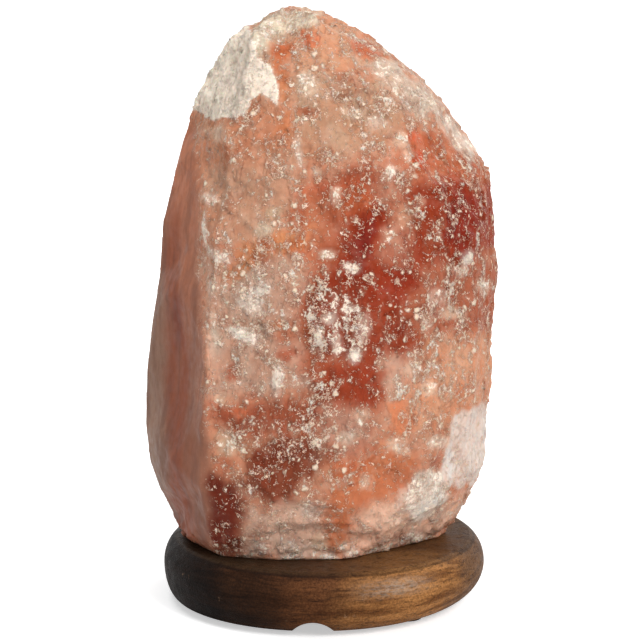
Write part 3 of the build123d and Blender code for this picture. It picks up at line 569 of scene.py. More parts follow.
# Coloured areas of the front, as outlines in mm across and up, measured where the camera's view
# crosses the lamp's middle plane: colour, softness of the edge in mm, frost, and the outline.
SALMON = (194, 134, 106)
AREAS = {
    "orange_upper_left": ((188, 128, 98), 6, 0, [(-43, 180), (-33, 180), (-23, 187), (-17, 182), (-9, 179),
        (-1, 174), (-2, 168), (-12, 164), (-25, 161), (-40, 163), (-44, 171)]),
    "upper_middle": ((184, 138, 110), 10, 0.12, [(-11, 196), (6, 196), (24, 194), (32, 183), (29, 176),
        (21, 168), (6, 167), (-8, 171), (-12, 183)]),
    "brown_left": ((191, 142, 115), 8, 0.05, [(-44, 162), (-12, 162), (-9, 154), (-14, 137), (-27, 132),
        (-36, 132), (-44, 141)]),
    "pale_left": ((190, 148, 126), 9, 0.2, [(-44, 128), (-33, 125), (-12, 130), (-4, 119), (-9, 100),
        (-8, 84), (-23, 76), (-41, 76), (-44, 100)]),
    "orange_middle": ((186, 110, 80), 7, 0, [(-12, 154), (-1, 156), (5, 149), (4, 134), (-2, 125),
        (-12, 128), (-14, 141)]),
    "orange_vein": ((200, 126, 86), 5, 0, [(-36, 122), (-31, 130), (-23, 136), (-12, 140), (-4, 140),
        (-7, 132), (-18, 129), (-25, 125), (-31, 120)]),
    "heart_around": ((162, 84, 60), 11, 0, [(-3, 156), (12, 163), (30, 160), (42, 152), (45, 124), (41, 94),
        (31, 82), (18, 69), (2, 69), (-7, 80), (-9, 108), (-3, 124), (1, 140)]),
    "heart_top": ((176, 90, 60), 6, 0, [(4, 154), (10, 156), (18, 154), (21, 147), (14, 143), (8, 144),
        (4, 147)]),
    "heart": ((144, 58, 36), 6, 0, [(10, 144), (18, 149), (23, 148), (24, 140), (21, 134), (18, 128),
        (26, 127), (35, 126), (38, 120), (31, 111), (29, 106), (20, 104), (15, 109), (10, 115), (4, 110),
        (-1, 111), (0, 119), (4, 125), (6, 134), (7, 139)]),
    "heart_core": ((128, 48, 30), 4, 0, [(11, 139), (18, 144), (20, 139), (17, 131), (14, 124), (10, 125),
        (10, 134)]),
    "heart_low": ((148, 66, 46), 7, 0, [(20, 111), (28, 107), (33, 100), (32, 91), (23, 91), (21, 83),
        (20, 75), (14, 71), (4, 73), (-1, 79), (-1, 88), (9, 88), (14, 92), (17, 100)]),
    "heart_left": ((152, 80, 56), 6, 0, [(-7, 111), (-1, 115), (0, 109), (-1, 100), (0, 92), (-5, 91),
        (-8, 98)]),
    "heart_crust": ((140, 74, 58), 4, 0.44, [(-5, 112), (2, 116), (9, 114), (16, 108), (18, 99), (13, 92),
        (4, 91), (-3, 96)]),
    "right_gap": ((176, 112, 88), 7, 0, [(22, 162), (30, 158), (32, 152), (30, 142), (24, 139), (23, 147),
        (18, 151), (18, 158)]),
    "right_gap_low": ((170, 106, 84), 7, 0.1, [(23, 139), (32, 143), (35, 132), (30, 126), (23, 126),
        (19, 131)]),
    "right_top": ((178, 98, 68), 7, 0, [(31, 178), (43, 174), (50, 168), (60, 162), (70, 160), (70, 154),
        (52, 156), (43, 159), (33, 159), (29, 164), (28, 171)]),
    "right_dark": ((144, 60, 38), 7, 0, [(30, 152), (43, 159), (51, 157), (70, 153), (70, 136), (59, 130),
        (50, 125), (43, 125), (33, 127), (32, 135), (35, 143)]),
    "right_core": ((132, 50, 30), 6, 0, [(46, 154), (57, 152), (58, 142), (51, 133), (46, 135), (46, 145)]),
    "right_brown": ((166, 96, 72), 8, 0.05, [(35, 125), (50, 125), (70, 132), (70, 111), (70, 99), (48, 99),
        (37, 99), (30, 105), (30, 111), (37, 119)]),
    "right_low": ((204, 142, 110), 8, 0, [(38, 98), (57, 100), (70, 98), (70, 75), (60, 73), (48, 66),
        (35, 62), (27, 64), (22, 73), (26, 80), (32, 85), (35, 92)]),
    "pink_low": ((198, 148, 124), 7, 0.1, [(22, 92), (32, 92), (35, 84), (29, 79), (24, 74), (21, 81)]),
    "orange_spot_low": ((208, 130, 94), 5, 0, [(24, 73), (29, 75), (34, 69), (32, 62), (26, 59), (23, 64)]),
    "pink_middle_low": ((180, 124, 102), 8, 0.1, [(-1, 73), (8, 72), (18, 67), (18, 56), (10, 51), (0, 52),
        (-2, 62)]),
    "orange_low": ((192, 116, 82), 8, 0, [(1, 52), (11, 52), (22, 58), (29, 55), (36, 52), (33, 43),
        (26, 36), (15, 32), (12, 19), (4, 16), (-1, 20), (1, 28), (2, 40)]),
    "red_left": ((160, 88, 65), 8, 0, [(-41, 73), (-31, 72), (-23, 75), (-12, 74), (-3, 75), (-1, 66),
        (-9, 62), (-23, 61), (-33, 60), (-41, 64)]),
    "dark_low": ((132, 68, 50), 7, 0, [(-28, 55), (-23, 58), (-12, 60), (-1, 58), (1, 53), (-1, 47),
        (-9, 44), (-12, 35), (-20, 34), (-29, 39), (-28, 49)]),
    "dark_corner": ((110, 51, 36), 9, 0, [(-46, 49), (-38, 47), (-31, 43), (-30, 28), (-31, 16), (-40, 17),
        (-48, 22), (-50, 32), (-47, 42)]),
    "low_centre": ((206, 166, 144), 8, 0.2, [(-29, 34), (-20, 32), (-10, 36), (-1, 36), (1, 28), (-1, 19),
        (1, 13), (-12, 12), (-29, 15)]),
    # painted light: the lower right faces down into shade, and its colour is lightened so it looks lit
    "bottom_right": ((230, 184, 158), 8, 0.15, [(14, 31), (26, 36), (37, 28), (46, 37), (51, 35), (43, 25),
        (33, 18), (21, 16), (12, 18)]),
    "frost_low_right": ((214, 194, 178), 4, 0.6, [(30, 43), (33, 47), (43, 49), (47, 45), (46, 38),
        (43, 32), (35, 28), (30, 32), (28, 37)]),
    "pale_facet": ((219, 201, 189), 2, 0, [(49, 69), (59, 74), (70, 72), (70, 50), (57, 46), (52, 41),
        (47, 43), (46, 55)]),
    "orange_top": ((202, 146, 114), 7, 0.12, [(-21, 208), (-9, 213), (-2, 218), (8, 217), (23, 207),
        (25, 201), (13, 200), (2, 195), (-9, 196), (-14, 200), (-19, 200)]),
    "orange_strip": ((194, 124, 88), 4, 0, [(-21, 205), (-14, 206), (-12, 198), (-12, 186), (-10, 176),
        (-16, 174), (-17, 185), (-19, 195)]),
    "rim_high": ((198, 172, 152), 5, 0.36, [(18, 201), (26, 203), (36, 194), (43, 185), (43, 180),
        (37, 181), (28, 184), (22, 191)]),
    "rim_low": ((208, 182, 164), 3, 0.44, [(42, 181), (49, 179), (56, 168), (53, 165), (49, 170),
        (45, 175)]),
    "pale_top": ((212, 196, 172), 5, 0.5, [(-27, 212), (-23, 217), (-9, 220), (-1, 219), (-4, 214),
        (-16, 210), (-20, 206), (-21, 198), (-25, 201)]),
    "frost_cap": ((226, 209, 190), 1, 1.0, [(-17, 183), (-21, 186), (-25, 187), (-28, 184), (-32, 181),
        (-40, 180), (-44, 182), (-50, 186), (-50, 197), (-44, 206), (-38, 214), (-29, 218), (-26, 210),
        (-23, 203), (-19, 198), (-17, 191)]),
}

# Round spots of the front: colour, frost, place across and up, half width, half height and any lean.
SPOTS = [
    ((184, 100, 66), 0, -16, 204, 2.9, 3.4), ((212, 122, 86), 0, -6, 208, 4, 3.4),
    ((194, 104, 72), 0, 15, 206, 6.2, 3.4, -25), ((176, 100, 70), 0, -7, 182, 2.9, 1.9),
    ((220, 192, 168), 0.5, -5, 192, 4, 4.2), ((214, 182, 156), 0.4, 10, 183, 5.1, 3),
    ((212, 176, 154), 0.4, 18, 178, 3.7, 3.4), ((200, 150, 122), 0.2, 21, 187, 4.4, 5.3),
    ((226, 200, 180), 0.6, -9, 168, 1.5, 6), ((222, 190, 166), 0.6, -3, 161, 2.6, 1.9, -25),
    ((226, 196, 172), 0.7, 4, 152, 1.8, 3), ((222, 192, 168), 0.7, 1, 130, 2.9, 2.3),
    ((232, 214, 198), 0.95, 10, 125, 2.9, 1.9), ((232, 212, 196), 0.9, 24, 160, 1.8, 2.6),
    ((222, 190, 164), 0.6, 28, 172, 2.9, 3.8), ((228, 196, 172), 0.6, 30, 166, 2.2, 2.3),
    ((200, 84, 54), 0, 35, 164, 2.2, 3.4), ((204, 104, 74), 0, 33, 174, 2.9, 2.3),
    ((232, 216, 204), 0.9, 52, 129, 2.2, 3, 15), ((216, 182, 162), 0.6, 50, 123, 2.6, 2.6),
    ((200, 150, 122), 0.3, 29, 145, 3.3, 4.5), ((196, 148, 124), 0.4, 26, 137, 2.9, 3),
    ((180, 116, 92), 0.3, 43, 139, 2.2, 5.3), ((206, 160, 136), 0.4, 35, 150, 2.2, 2.6),
    ((150, 70, 48), 0, 39, 134, 2.9, 7.5), ((220, 186, 160), 0.6, 59, 118, 2.6, 3),
    ((220, 190, 164), 0.5, 48, 107, 4.4, 3), ((212, 172, 150), 0.5, 39, 103, 2.9, 3),
    ((206, 166, 146), 0.4, 42, 113, 2.9, 3), ((214, 184, 160), 0.5, 32, 86, 2.6, 3),
    ((226, 196, 170), 0.5, 38, 79, 3.7, 3), ((222, 186, 160), 0.5, 27, 57, 4.8, 2.6),
    ((222, 190, 164), 0.6, 15, 43, 2.2, 3), ((214, 178, 154), 0.4, 8, 61, 3.7, 3),
    ((214, 176, 150), 0.5, 13, 69, 2.6, 2.6), ((228, 206, 190), 0.9, -23, 117, 3.3, 2.6),
    ((226, 206, 190), 0.8, -27, 111, 3.7, 4.5), ((236, 220, 208), 0.95, -30, 100, 5.9, 2.6, -20),
    ((228, 210, 196), 0.9, -18, 82, 2.6, 6.8), ((224, 200, 184), 0.9, -2, 97, 1.5, 4.9),
    ((222, 196, 180), 0.8, 4, 96, 1.5, 3.8), ((236, 220, 208), 0.95, 11, 92, 2.6, 2.6, 30),
    ((196, 160, 146), 0.6, 15, 101, 2.6, 5.3, -10), ((208, 178, 160), 0.7, 10, 109, 3.7, 1.9),
    ((206, 178, 160), 0.5, 2, 105, 2.6, 2.3), ((196, 158, 138), 0.4, -9, 81, 4.4, 3.8),
    ((150, 78, 58), 0, -3, 66, 1.1, 6.8), ((138, 76, 58), 0, -4, 51, 5.1, 3.4),
    ((204, 150, 118), 0.4, -29, 55, 3.3, 3), ((206, 176, 148), 0.5, -36, 58, 4.4, 3.4),
    ((206, 174, 148), 0.4, -38, 75, 2.9, 2.3), ((196, 110, 78), 0, -31, 70, 3.7, 2.3),
    ((182, 112, 84), 0, -38, 51, 3.7, 3.8), ((206, 182, 166), 0.5, -6, 32, 4, 3.8),
    ((204, 180, 164), 0.5, -12, 19, 4.4, 3.4), ((212, 174, 144), 0.5, -2, 19, 2.9, 3.8),
    ((222, 192, 168), 0.6, 8, 18, 2.9, 1.9), ((150, 110, 92), 0.1, -23, 24, 2.6, 4.5),
    ((214, 190, 164), 0.4, -22, 138, 2.9, 3.4), ((204, 176, 146), 0.3, -19, 146, 2.9, 2.3),
    ((228, 208, 192), 0.85, -38, 130, 4.4, 1.9, -22), ((226, 206, 190), 0.85, -43, 138, 1.1, 6, -5),
    ((216, 190, 172), 0.7, -41, 150, 3.7, 2.3), ((206, 176, 152), 0.4, -39, 175, 3.3, 3),
    ((206, 178, 158), 0.5, -41, 116, 2.2, 3.8), ((208, 182, 160), 0.5, -40, 100, 1.8, 6),
    ((214, 190, 170), 0.5, -41, 105, 2.2, 2.3), ((168, 98, 74), 0, -34, 85, 2.9, 3.8),
    ((178, 104, 76), 0, -14, 100, 4.4, 5.3), ((190, 120, 86), 0, -18, 103, 1.8, 3),
    ((168, 92, 68), 0, -14, 92, 4.4, 2.6), ((224, 200, 180), 0.4, 43, 58, 3.7, 3),
    ((176, 108, 78), 0, 28, 47, 5.1, 3), ((170, 100, 74), 0, 43, 50, 2.9, 3),
    ((226, 200, 182), 0.8, -13, 14.5, 4.5, 2.2), ((228, 202, 182), 0.8, 2, 14, 4.0, 2.0),
    ((230, 206, 188), 0.85, 11, 15.5, 3.4, 2.0, 8), ((222, 196, 178), 0.7, 21, 18, 4.5, 1.8, 12),
    ((222, 196, 178), 0.7, 33, 22, 4.5, 1.8, 18), ((214, 188, 170), 0.7, -24, 16.5, 3.5, 1.8, -8),
]
# how crumbly the front is beyond the usual, and where: amount, place across and up, half sizes
CRUMBLY = [
    (0.42, 2, 106, 9, 18), (0.2, 27, 158, 12, 16), (0.1, 44, 146, 14, 22), (0.34, 50, 118, 8, 12),
    (0.3, -24, 96, 12, 22), (0.3, -3, 70, 7, 16), (0.15, -2, 160, 9, 8), (0.2, 48, 92, 16, 24),
    (0.2, 34, 74, 14, 10), (0.22, 20, 182, 24, 14), (0.22, 10, 206, 18, 10), (0.14, -26, 168, 18, 14),
    (-0.3, 14, 134, 8, 12), (-0.3, 27, 115, 9, 9), (-0.25, -32, 155, 15, 20), (-0.25, 24, 44, 12, 16),
    (-0.3, 56, 58, 7, 13), (-0.12, 4, 17, 40, 6), (-0.4, -39, 32, 8, 18), (-0.16, -14, 47, 14, 10),
    (-0.15, 16, 82, 10, 8),
]
# painted light: places that lie turned from the light, brightened so that they look lit: factor, place
# across and up, half sizes
PAINTED_LIGHT_SPOTS = [
    (0.3, -42, 166, 6, 14), (0.28, -44, 118, 3.5, 34), (0.16, -42, 78, 3.5, 20), (0.5, -41, 193, 7, 12),
    (0.3, -33, 206, 7, 8), (0.18, -47, 184, 3, 6), (0.22, 4, 15, 44, 4),
]
# where a round spot begins to fade and where it ends, in half sizes
SPOT_FADE, PAINTED_LIGHT_FADE, CRUMBLY_FADE, CORE_FADE = (0.45, 1.45), (0.4, 1.4), (0.5, 1.4), (0.4, 1.5)
SPOT_MOST, SPOT_FROST = 0.85, 0.40  # most of a spot's colour, and how much less of it frost leaves

# how far outlines waver and the size of the waves, in mm: wide, fine, and ragged
WIDE_WAVE, WIDE_SIZE = 2.6, 11
FINE_WAVE, FINE_SIZE = 0.9, 2.6
RAGGED_WAVE, RAGGED_SIZE = 0.7, 5.0
RAGGED_MOST = 4  # mm of softness beyond which an outline gets no more ragged

# the smooth left side face
ARRIS_X = -46.5  # mm across where it begins
ARRIS_SHIFT = 2.5  # and how much further right near the foot
ARRIS_FROM_TO = (130, 60)  # mm up, between which it shifts
ARRIS_SOFT = 2.5
SIDE_TOP, SIDE_TOP_BEHIND = (186, 174), (188, 172)  # mm up, between which it ends
SIDE_UPPER, SIDE_LOWER = (190, 124, 96), (150, 99, 79)
SIDE_FROM_TO = (60, 160)  # mm up, from the lower colour to the upper one
SIDE_RED, SIDE_RED_MOST = (146, 78, 56), 0.68
SIDE_STREAKS = np.array([1, 1, 0.13])
# bands down it: colour, mm across and mm up between which they come in, and most of them
SIDE_BANDS = [
    ((156, 128, 110), (-56, -62), (165, 130), 0.75),
    ((158, 112, 92), (-51, -47), (150, 130), 0.6),
]
SIDE_CORE, SIDE_CORE_PLACE, SIDE_CORE_MOST = (138, 70, 54), (-54.5, 105, 2.0, 10), 0.8
SIDE_TURNED = (0.35, 0.75)  # how far a normal has to point left for a place behind to count as side face
SIDE_BEHIND = (30, -10)  # mm behind the middle, between which it comes in

# blots of the sides and the back, which the camera doesn't see: colour, size in mm, seed, noise range in
# which they come in, most of them, and frost
BACK_BLOTS = [
    ((166, 84, 60), 34, 71, 0.05, 0.45, 0.9, 0),
    ((206, 128, 90), 26, 72, 0.1, 0.5, 0.8, 0),
    ((192, 154, 130), 22, 73, 0.15, 0.5, 0.8, 0),
    ((148, 66, 48), 18, 74, 0.3, 0.6, 0.8, 0),
    ((226, 208, 194), 17, 75, 0.38, 0.55, 0.9, 0.8),
]
FRONT_FACING = (-0.32, -0.04)  # how far a place turns to the camera, between back and front paint

# the broken surface, in mm: height, size and seed of its flats
FLATS = [(0.40, 9, 101), (0.65, 4.6, 111), (0.16, 2.4, 121)]
LUMPS_HIGH, PITS_DEEP = 0.25, 0.9
FOOT_JAGGED = (9, 2)  # above the wood, between which the stone is more broken
FOOT_FLATS = (1.1, 3.4, 161)
CRUST_HIGH, CRUST_UNEVEN = 0.45, 0.35
SURFACE_IN = 0.35  # how far the whole surface is set in


def seen_place(points):
    """Where a point shows, in mm across and up, moved along the line of sight to the middle plane."""
    eye = np.array(CAMERA_PLACE)
    reach = -eye[1] / (points[:, 1] - eye[1])
    hit = eye + (points - eye) * reach[:, None]
    return hit[:, 0] / MM, hit[:, 2] / MM


def inside(across, up, outline):
    """Signed distance in mm to an outline, above 0 inside it."""
    distance = np.full(len(across), 1e9)
    within = np.zeros(len(across), bool)
    for (x0, z0), (x1, z1) in zip(outline, outline[1:] + outline[:1]):
        run_x, run_z = x1 - x0, z1 - z0
        along = ((across - x0) * run_x + (up - z0) * run_z) / (run_x ** 2 + run_z ** 2)
        along = np.clip(along, 0, 1)
        distance = np.minimum(distance, np.hypot(across - x0 - along * run_x, up - z0 - along * run_z))
        if z0 != z1:
            crosses = (up < z0) != (up < z1)
            within ^= crosses & (across < x0 + (up - z0) / run_z * run_x)
    return np.where(within, distance, -distance)


def spot(across, up, x, z, half_x, half_z, fade, wobble=0.0, lean=0):
    """How much of a round spot there is: 1 in its middle and 0 outside it."""
    turn = math.radians(lean)
    dx, dz = across - x, up - z
    u = (dx * math.cos(turn) + dz * math.sin(turn)) / half_x
    v = (-dx * math.sin(turn) + dz * math.cos(turn)) / half_z
    return 1 - smoothstep(*fade, np.hypot(u, v) + wobble)


def painted(old, rgb, share):
    """Colours with one colour painted over a share of each."""
    return old + (pigment(rgb) - old) * share[:, None]


def paint_front(mm, across, up, ragged):
    """Colour and frost of the front's areas and spots."""
    colours, frost = np.tile(pigment(SALMON), (len(mm), 1)), np.zeros(len(mm))
    for colour, soft, frosty, outline in AREAS.values():
        edge = inside(across, up, outline) + min(soft, RAGGED_MOST) * ragged
        share = smoothstep(-soft / 2, soft / 2, edge)
        colours = painted(colours, colour, share)
        frost += (frosty - frost) * share
    for colour, frosty, x, z, half_x, half_z, *lean in SPOTS:
        share = spot(across, up, x, z, half_x, half_z, SPOT_FADE, 0.5 * ragged, *lean)
        colours = painted(colours, colour, (SPOT_MOST - SPOT_FROST * frosty) * share)
        frost += (SPOT_MOST * frosty - frost) * share
    # painted light: brighten the places that face away from the lamps
    for more, *place in PAINTED_LIGHT_SPOTS:
        colours *= 1 + more * spot(across, up, *place, PAINTED_LIGHT_FADE)[:, None]
    return colours, frost


def paint_side(mm, across, up, even_up):
    """Colour of the smooth left side face, greyer and streaked, and how much of it there is."""
    arris = ARRIS_X + ARRIS_SHIFT * smoothstep(*ARRIS_FROM_TO, even_up)
    side = smoothstep(arris + ARRIS_SOFT, arris - ARRIS_SOFT, across) * smoothstep(*SIDE_TOP, even_up)
    colours = painted(pigment(SIDE_LOWER), SIDE_UPPER, smoothstep(*SIDE_FROM_TO, even_up))
    streak = smoothstep(-0.25, 0.5, layered_noise(mm * SIDE_STREAKS, 8, 61))
    colours = painted(colours, SIDE_RED, SIDE_RED_MOST * streak)
    for colour, across_limits, up_limits, most in SIDE_BANDS:
        band = smoothstep(*across_limits, across) * smoothstep(*up_limits, even_up)
        colours = painted(colours, colour, most * band)
    core = spot(across, up, *SIDE_CORE_PLACE, CORE_FADE)
    return painted(colours, SIDE_CORE, SIDE_CORE_MOST * core), side


def paint_back(mm):
    """Invented colour and frost of the sides and the back."""
    colours, frost = np.tile(pigment(SALMON), (len(mm), 1)), np.zeros(len(mm))
    for colour, size, seed, low, high, most, frosty in BACK_BLOTS:
        share = most * smoothstep(low, high, layered_noise(mm, size, seed))
        colours = painted(colours, colour, share)
        frost += (frosty - frost) * share
    return colours, frost


def paint_stone(points, normals):
    """Colour, frost, sparkle and side-face masks of every point of the stone."""
    mm = points / MM
    even_across, even_up = seen_place(points)
    wide = [WIDE_WAVE * layered_noise(mm, WIDE_SIZE, seed) for seed in (41, 42)]
    fine = [FINE_WAVE * layered_noise(mm, FINE_SIZE, seed, 2) for seed in (43, 44)]
    across, up = even_across + wide[0] + fine[0], even_up + wide[1] + fine[1]
    ragged = RAGGED_WAVE * layered_noise(mm, RAGGED_SIZE, 45, 3)
    front, frost = paint_front(mm, across, up, ragged)
    side_colour, side = paint_side(mm, across, up, even_up)
    back, back_frost = paint_back(mm)

    towards = np.array(CAMERA_PLACE) - points
    towards /= np.linalg.norm(towards, axis=1)[:, None]
    facing = (normals * towards).sum(axis=1)
    shown = smoothstep(*FRONT_FACING, facing + 0.1 * layered_noise(mm, 9, 51))
    left = smoothstep(*SIDE_TURNED, -normals[:, 0]) * smoothstep(*SIDE_BEHIND, mm[:, 1])
    side = np.maximum(side * shown, left * smoothstep(*SIDE_TOP_BEHIND, mm[:, 2]) * (1 - shown))
    colour = back + (front - back) * shown[:, None]
    colour = colour + (side_colour - colour) * side[:, None]
    frost = (back_frost + (frost - back_frost) * shown) * (1 - side)

    sparkle = 0.56 + 0.25 * layered_noise(mm, 15, 81)
    for amount, *place in CRUMBLY:
        sparkle += amount * spot(across, up, *place, CRUMBLY_FADE, 0.3 * ragged) * shown
    sparkle *= 1 - 0.95 * side
    return colour, np.clip(frost, 0, 1), np.clip(sparkle, 0, 1), side


def skin_share(points):
    """1 on the stone's outside, 0 in its boring, its plug holes and on its foot."""
    radius = np.hypot(points[:, 0], points[:, 1])
    boring = (radius < BORING_R) & (points[:, 2] < BORING_TOP)
    holes = np.hypot(np.abs(points[:, 0]) - PLUG_HOLE_X, points[:, 1]) < PLUG_HOLE_R
    holes &= points[:, 2] < TOP_Z + PLUG_HOLE_HIGH
    return np.where(boring | holes, 0, smoothstep(*FOOT_PLAIN, points[:, 2] - TOP_Z))


def roughen(points, frost, sparkle, side):
    """Height of the broken surface in metres: tilted flats at three sizes, pits, a jagged foot and crust."""
    mm = points / MM
    calm = (1 - 0.9 * side) * (0.35 + 0.65 * smoothstep(0.05, 0.45, sparkle))
    rough = np.zeros(len(mm))
    for high, size, seed in FLATS:
        rough += high * calm * facets(mm, size, seed)
    rough += LUMPS_HIGH * calm * layered_noise(mm, 3.0, 131, 2)
    rough -= PITS_DEEP * smoothstep(0.42, 0.75, layered_noise(mm, 6.5, 141, 3)) * calm
    high, size, seed = FOOT_FLATS
    rough += high * smoothstep(*FOOT_JAGGED, mm[:, 2] - TOP_Z / MM) * facets(mm, size, seed)
    crust = smoothstep(0.35, 0.8, frost)
    rough += crust * (CRUST_HIGH + CRUST_UNEVEN * layered_noise(mm, 1.9, 151, 2))
    return (rough - SURFACE_IN) * MM


def make_stone():
    """The block of salt: the CAD node, meshed evenly, broken up and painted."""
    stone = bpy.data.objects.new("salt_block", frame["nodes"]["salt_crystal"].data.copy())
    scene.collection.objects.link(stone)
    remesh = stone.modifiers.new("even", "REMESH")
    remesh.mode = "VOXEL"
    remesh.voxel_size = VOXEL
    bpy.context.view_layer.update()
    even = bpy.data.meshes.new_from_object(stone.evaluated_get(bpy.context.evaluated_depsgraph_get()))
    stone.modifiers.clear()
    stone.data = even
    points, normals = vectors(even, "co"), vectors(even, "normal")
    skin = skin_share(points)
    colour, frost, sparkle, side = paint_stone(points, normals)
    moved = points + normals * (roughen(points, frost, sparkle, side) * skin)[:, None]
    moved = np.clip(moved, np.array(STONE_LOW), np.array(STONE_HIGH))
    even.vertices.foreach_set("co", moved.ravel())
    even.update()
    colour_layer(even, "stain", colour)
    float_layer(even, "frost", frost)
    float_layer(even, "sparkle", sparkle * (skin > 0))
    float_layer(even, "side", side)
    even.polygons.foreach_set("use_smooth", np.ones(len(even.polygons), bool))
    return stone


stone = make_stone()
stone.data.materials.clear()
stone.data.materials.append(salt_material())
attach(stone, "lamp_body")
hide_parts("salt_crystal")


# ================ threads and the filament
E14_PITCH = 2.822 * MM
ROLLED_DEEP = 0.38 * MM  # depth of the round thread rolled into the cap and its socket
ROLLED_AROUND = 96  # points round the cap and its socket
CAP_SHEET = 0.35 * MM
CAP_THREAD_HIGH = 10.6 * MM  # the cap is plain above this
CAP_SKIRT_GAP, CAP_SKIRT_FADE = 0.4 * MM, 1.2 * MM  # between the thread's end and the plain skirt
CAP_NARROWED = 0.6  # of its end's step in radius, at the bottom edge
CONTACT_SHEET = 0.5 * MM
SCREW_PITCH = 2.2 * MM
SCREW_DEEP = 0.55 * MM
SCREW_R = 2.25 * MM
SCREW_HEAD_THICK = 2.5 * MM
SCREW_TIP = 4.0 * MM
SCREW_PLAIN = 7.0 * MM  # of the shank, below its thread
SCREW_AROUND = 40
THREAD_FADE = 1.6 * MM  # over which a thread runs out
THREAD_LEAST_R = 0.02 * MM
ROWS_PER_TURN = 14
FILAMENT_TURNS = 34
FILAMENT_STEPS = 12  # points in each of its turns
FILAMENT_SIDES = 6
FILAMENT_WIRE_R = 0.06 * MM
TAIL_STEPS = 4  # points in the straight wire from the coil to a lead wire
LEAD_R = 0.35 * MM


def turned_faces(rows, around, closed):
    """Quads between the rows of a turned mesh, and from the last row to the first if it is closed."""
    row = np.arange(rows if closed else rows - 1)[:, None]
    step = np.arange(around)[None, :]
    low, high = row * around, (row + 1) % rows * around
    after = (step + 1) % around
    return np.stack([low + step, low + after, high + after, high + step], axis=-1).reshape(-1, 4)


def end_face(rows, around):
    """The face that closes the last row of a turned mesh."""
    return tuple(range((rows - 1) * around, rows * around))


def turned_points(radii, heights, around, lost):
    """Points of a turned mesh round the Z axis; lost(height, turn) is what a thread takes off a radius."""
    turn = np.arange(around)[None, :] / around
    radius = np.repeat(np.array(radii, float)[:, None], around, axis=1)
    height = np.repeat(np.array(heights, float)[:, None], around, axis=1)
    radius = np.maximum(radius - lost(height, turn), THREAD_LEAST_R)
    angle = 2 * np.pi * turn
    return np.stack([radius * np.cos(angle), radius * np.sin(angle), height], axis=-1).reshape(-1, 3)


def smooth_piece(name, points, faces, flat_over=35):
    """A smooth shaded object, with edges sharper than an angle in degrees kept sharp."""
    mesh = bpy.data.meshes.new(name)
    mesh.from_pydata([tuple(point) for point in points], [], [tuple(int(i) for i in face) for face in faces])
    mesh.update()
    mesh.polygons.foreach_set("use_smooth", np.ones(len(mesh.polygons), bool))
    mesh.set_sharp_from_angle(angle=math.radians(flat_over))
    piece = bpy.data.objects.new(name, mesh)
    scene.collection.objects.link(piece)
    return piece


def stand_for(piece, node, body, slot):
    """A piece in place of a CAD node, on its body and in its material."""
    piece.data.materials.append(MATERIALS[slot])
    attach(piece, body)
    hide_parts(node)


def heights_for(low, high, pitch):
    """Evenly spaced heights that are fine enough for a thread."""
    return np.linspace(low, high, int(math.ceil((high - low) / pitch * ROWS_PER_TURN)) + 1)


def rolled(low, high, ends):
    """What a rolled thread takes off a radius between two heights; its ends keep that share of its depth."""
    def lost(height, turn):
        wave = (1 - np.cos(2 * np.pi * (height / E14_PITCH - turn))) / 2
        present = smoothstep(low, low + THREAD_FADE, height) * smoothstep(high, high - THREAD_FADE, height)
        return ROLLED_DEEP * (ends + (wave - ends) * present)
    return lost


def make_bulb_cap():
    """The bulb's cap: thin sheet with a rolled thread, a plain skirt and a narrowed lower end."""
    low, high, outer = CAP_LOW.z, CAP_HIGH.z, CAP_HIGH.x
    inner = outer - CAP_SHEET
    lip = inner - CAP_SHEET
    end_heights, end_radii = [low + CAP_SHEET, low, low], [lip, lip, lip + CAP_NARROWED * (outer - lip)]
    wall = heights_for(low + 2 * CAP_SHEET, high, E14_PITCH)
    heights = np.concatenate([end_heights, wall, wall[::-1]])
    radii = np.concatenate([end_radii, np.full(len(wall), outer), np.full(len(wall), inner)])
    thread = rolled(low, low + CAP_THREAD_HIGH, 1.0)
    skirt = low + CAP_THREAD_HIGH + CAP_SKIRT_GAP

    def lost(height, turn):
        shaped = thread(height, turn) * smoothstep(skirt + CAP_SKIRT_FADE, skirt, height)
        return np.where(np.arange(len(height))[:, None] < len(end_radii), 0, shaped)

    points = turned_points(radii, heights, ROLLED_AROUND, lost)
    piece = smooth_piece("threaded_cap", points, turned_faces(len(heights), ROLLED_AROUND, True))
    stand_for(piece, "bulb_cap", "bulb", "cap_metal")


def part_below(node, height):
    """The part of a CAD node's mesh below a height, as points and faces."""
    cut = bmesh.new()
    cut.from_mesh(frame["nodes"][node].data)
    bmesh.ops.bisect_plane(cut, geom=cut.verts[:] + cut.edges[:] + cut.faces[:], plane_co=(0, 0, height),
                           plane_no=(0, 0, 1), clear_outer=True)
    cut.verts.index_update()
    points = [tuple(vert.co) for vert in cut.verts]
    faces = [tuple(vert.index for vert in face.verts) for face in cut.faces]
    cut.free()
    return points, faces


def joined(*pieces):
    """Several sets of points and faces as one."""
    points, faces = [], []
    for some_points, some_faces in pieces:
        start = len(points)
        points += [tuple(point) for point in some_points]
        faces += [tuple(int(i) + start for i in face) for face in some_faces]
    return points, faces


def make_screw_shell():
    """The socket's brass shell, rolled into the same thread as the cap, on its flat foot."""
    low, high, outer = SOCKET_LOW.z + CONTACT_SHEET, SOCKET_HIGH.z, SOCKET_HIGH.x
    wall = heights_for(low, high, E14_PITCH)
    heights = np.concatenate([wall, wall[::-1]])
    radii = np.concatenate([np.full(len(wall), outer), np.full(len(wall), outer - CONTACT_SHEET)])
    tube = turned_points(radii, heights, ROLLED_AROUND, rolled(low, high, 0.0))
    faces = turned_faces(len(heights), ROLLED_AROUND, True)
    piece = smooth_piece("threaded_shell", *joined(part_below("screw_shell", low), (tube, faces)))
    stand_for(piece, "screw_shell", "lampholder", "contact_brass")


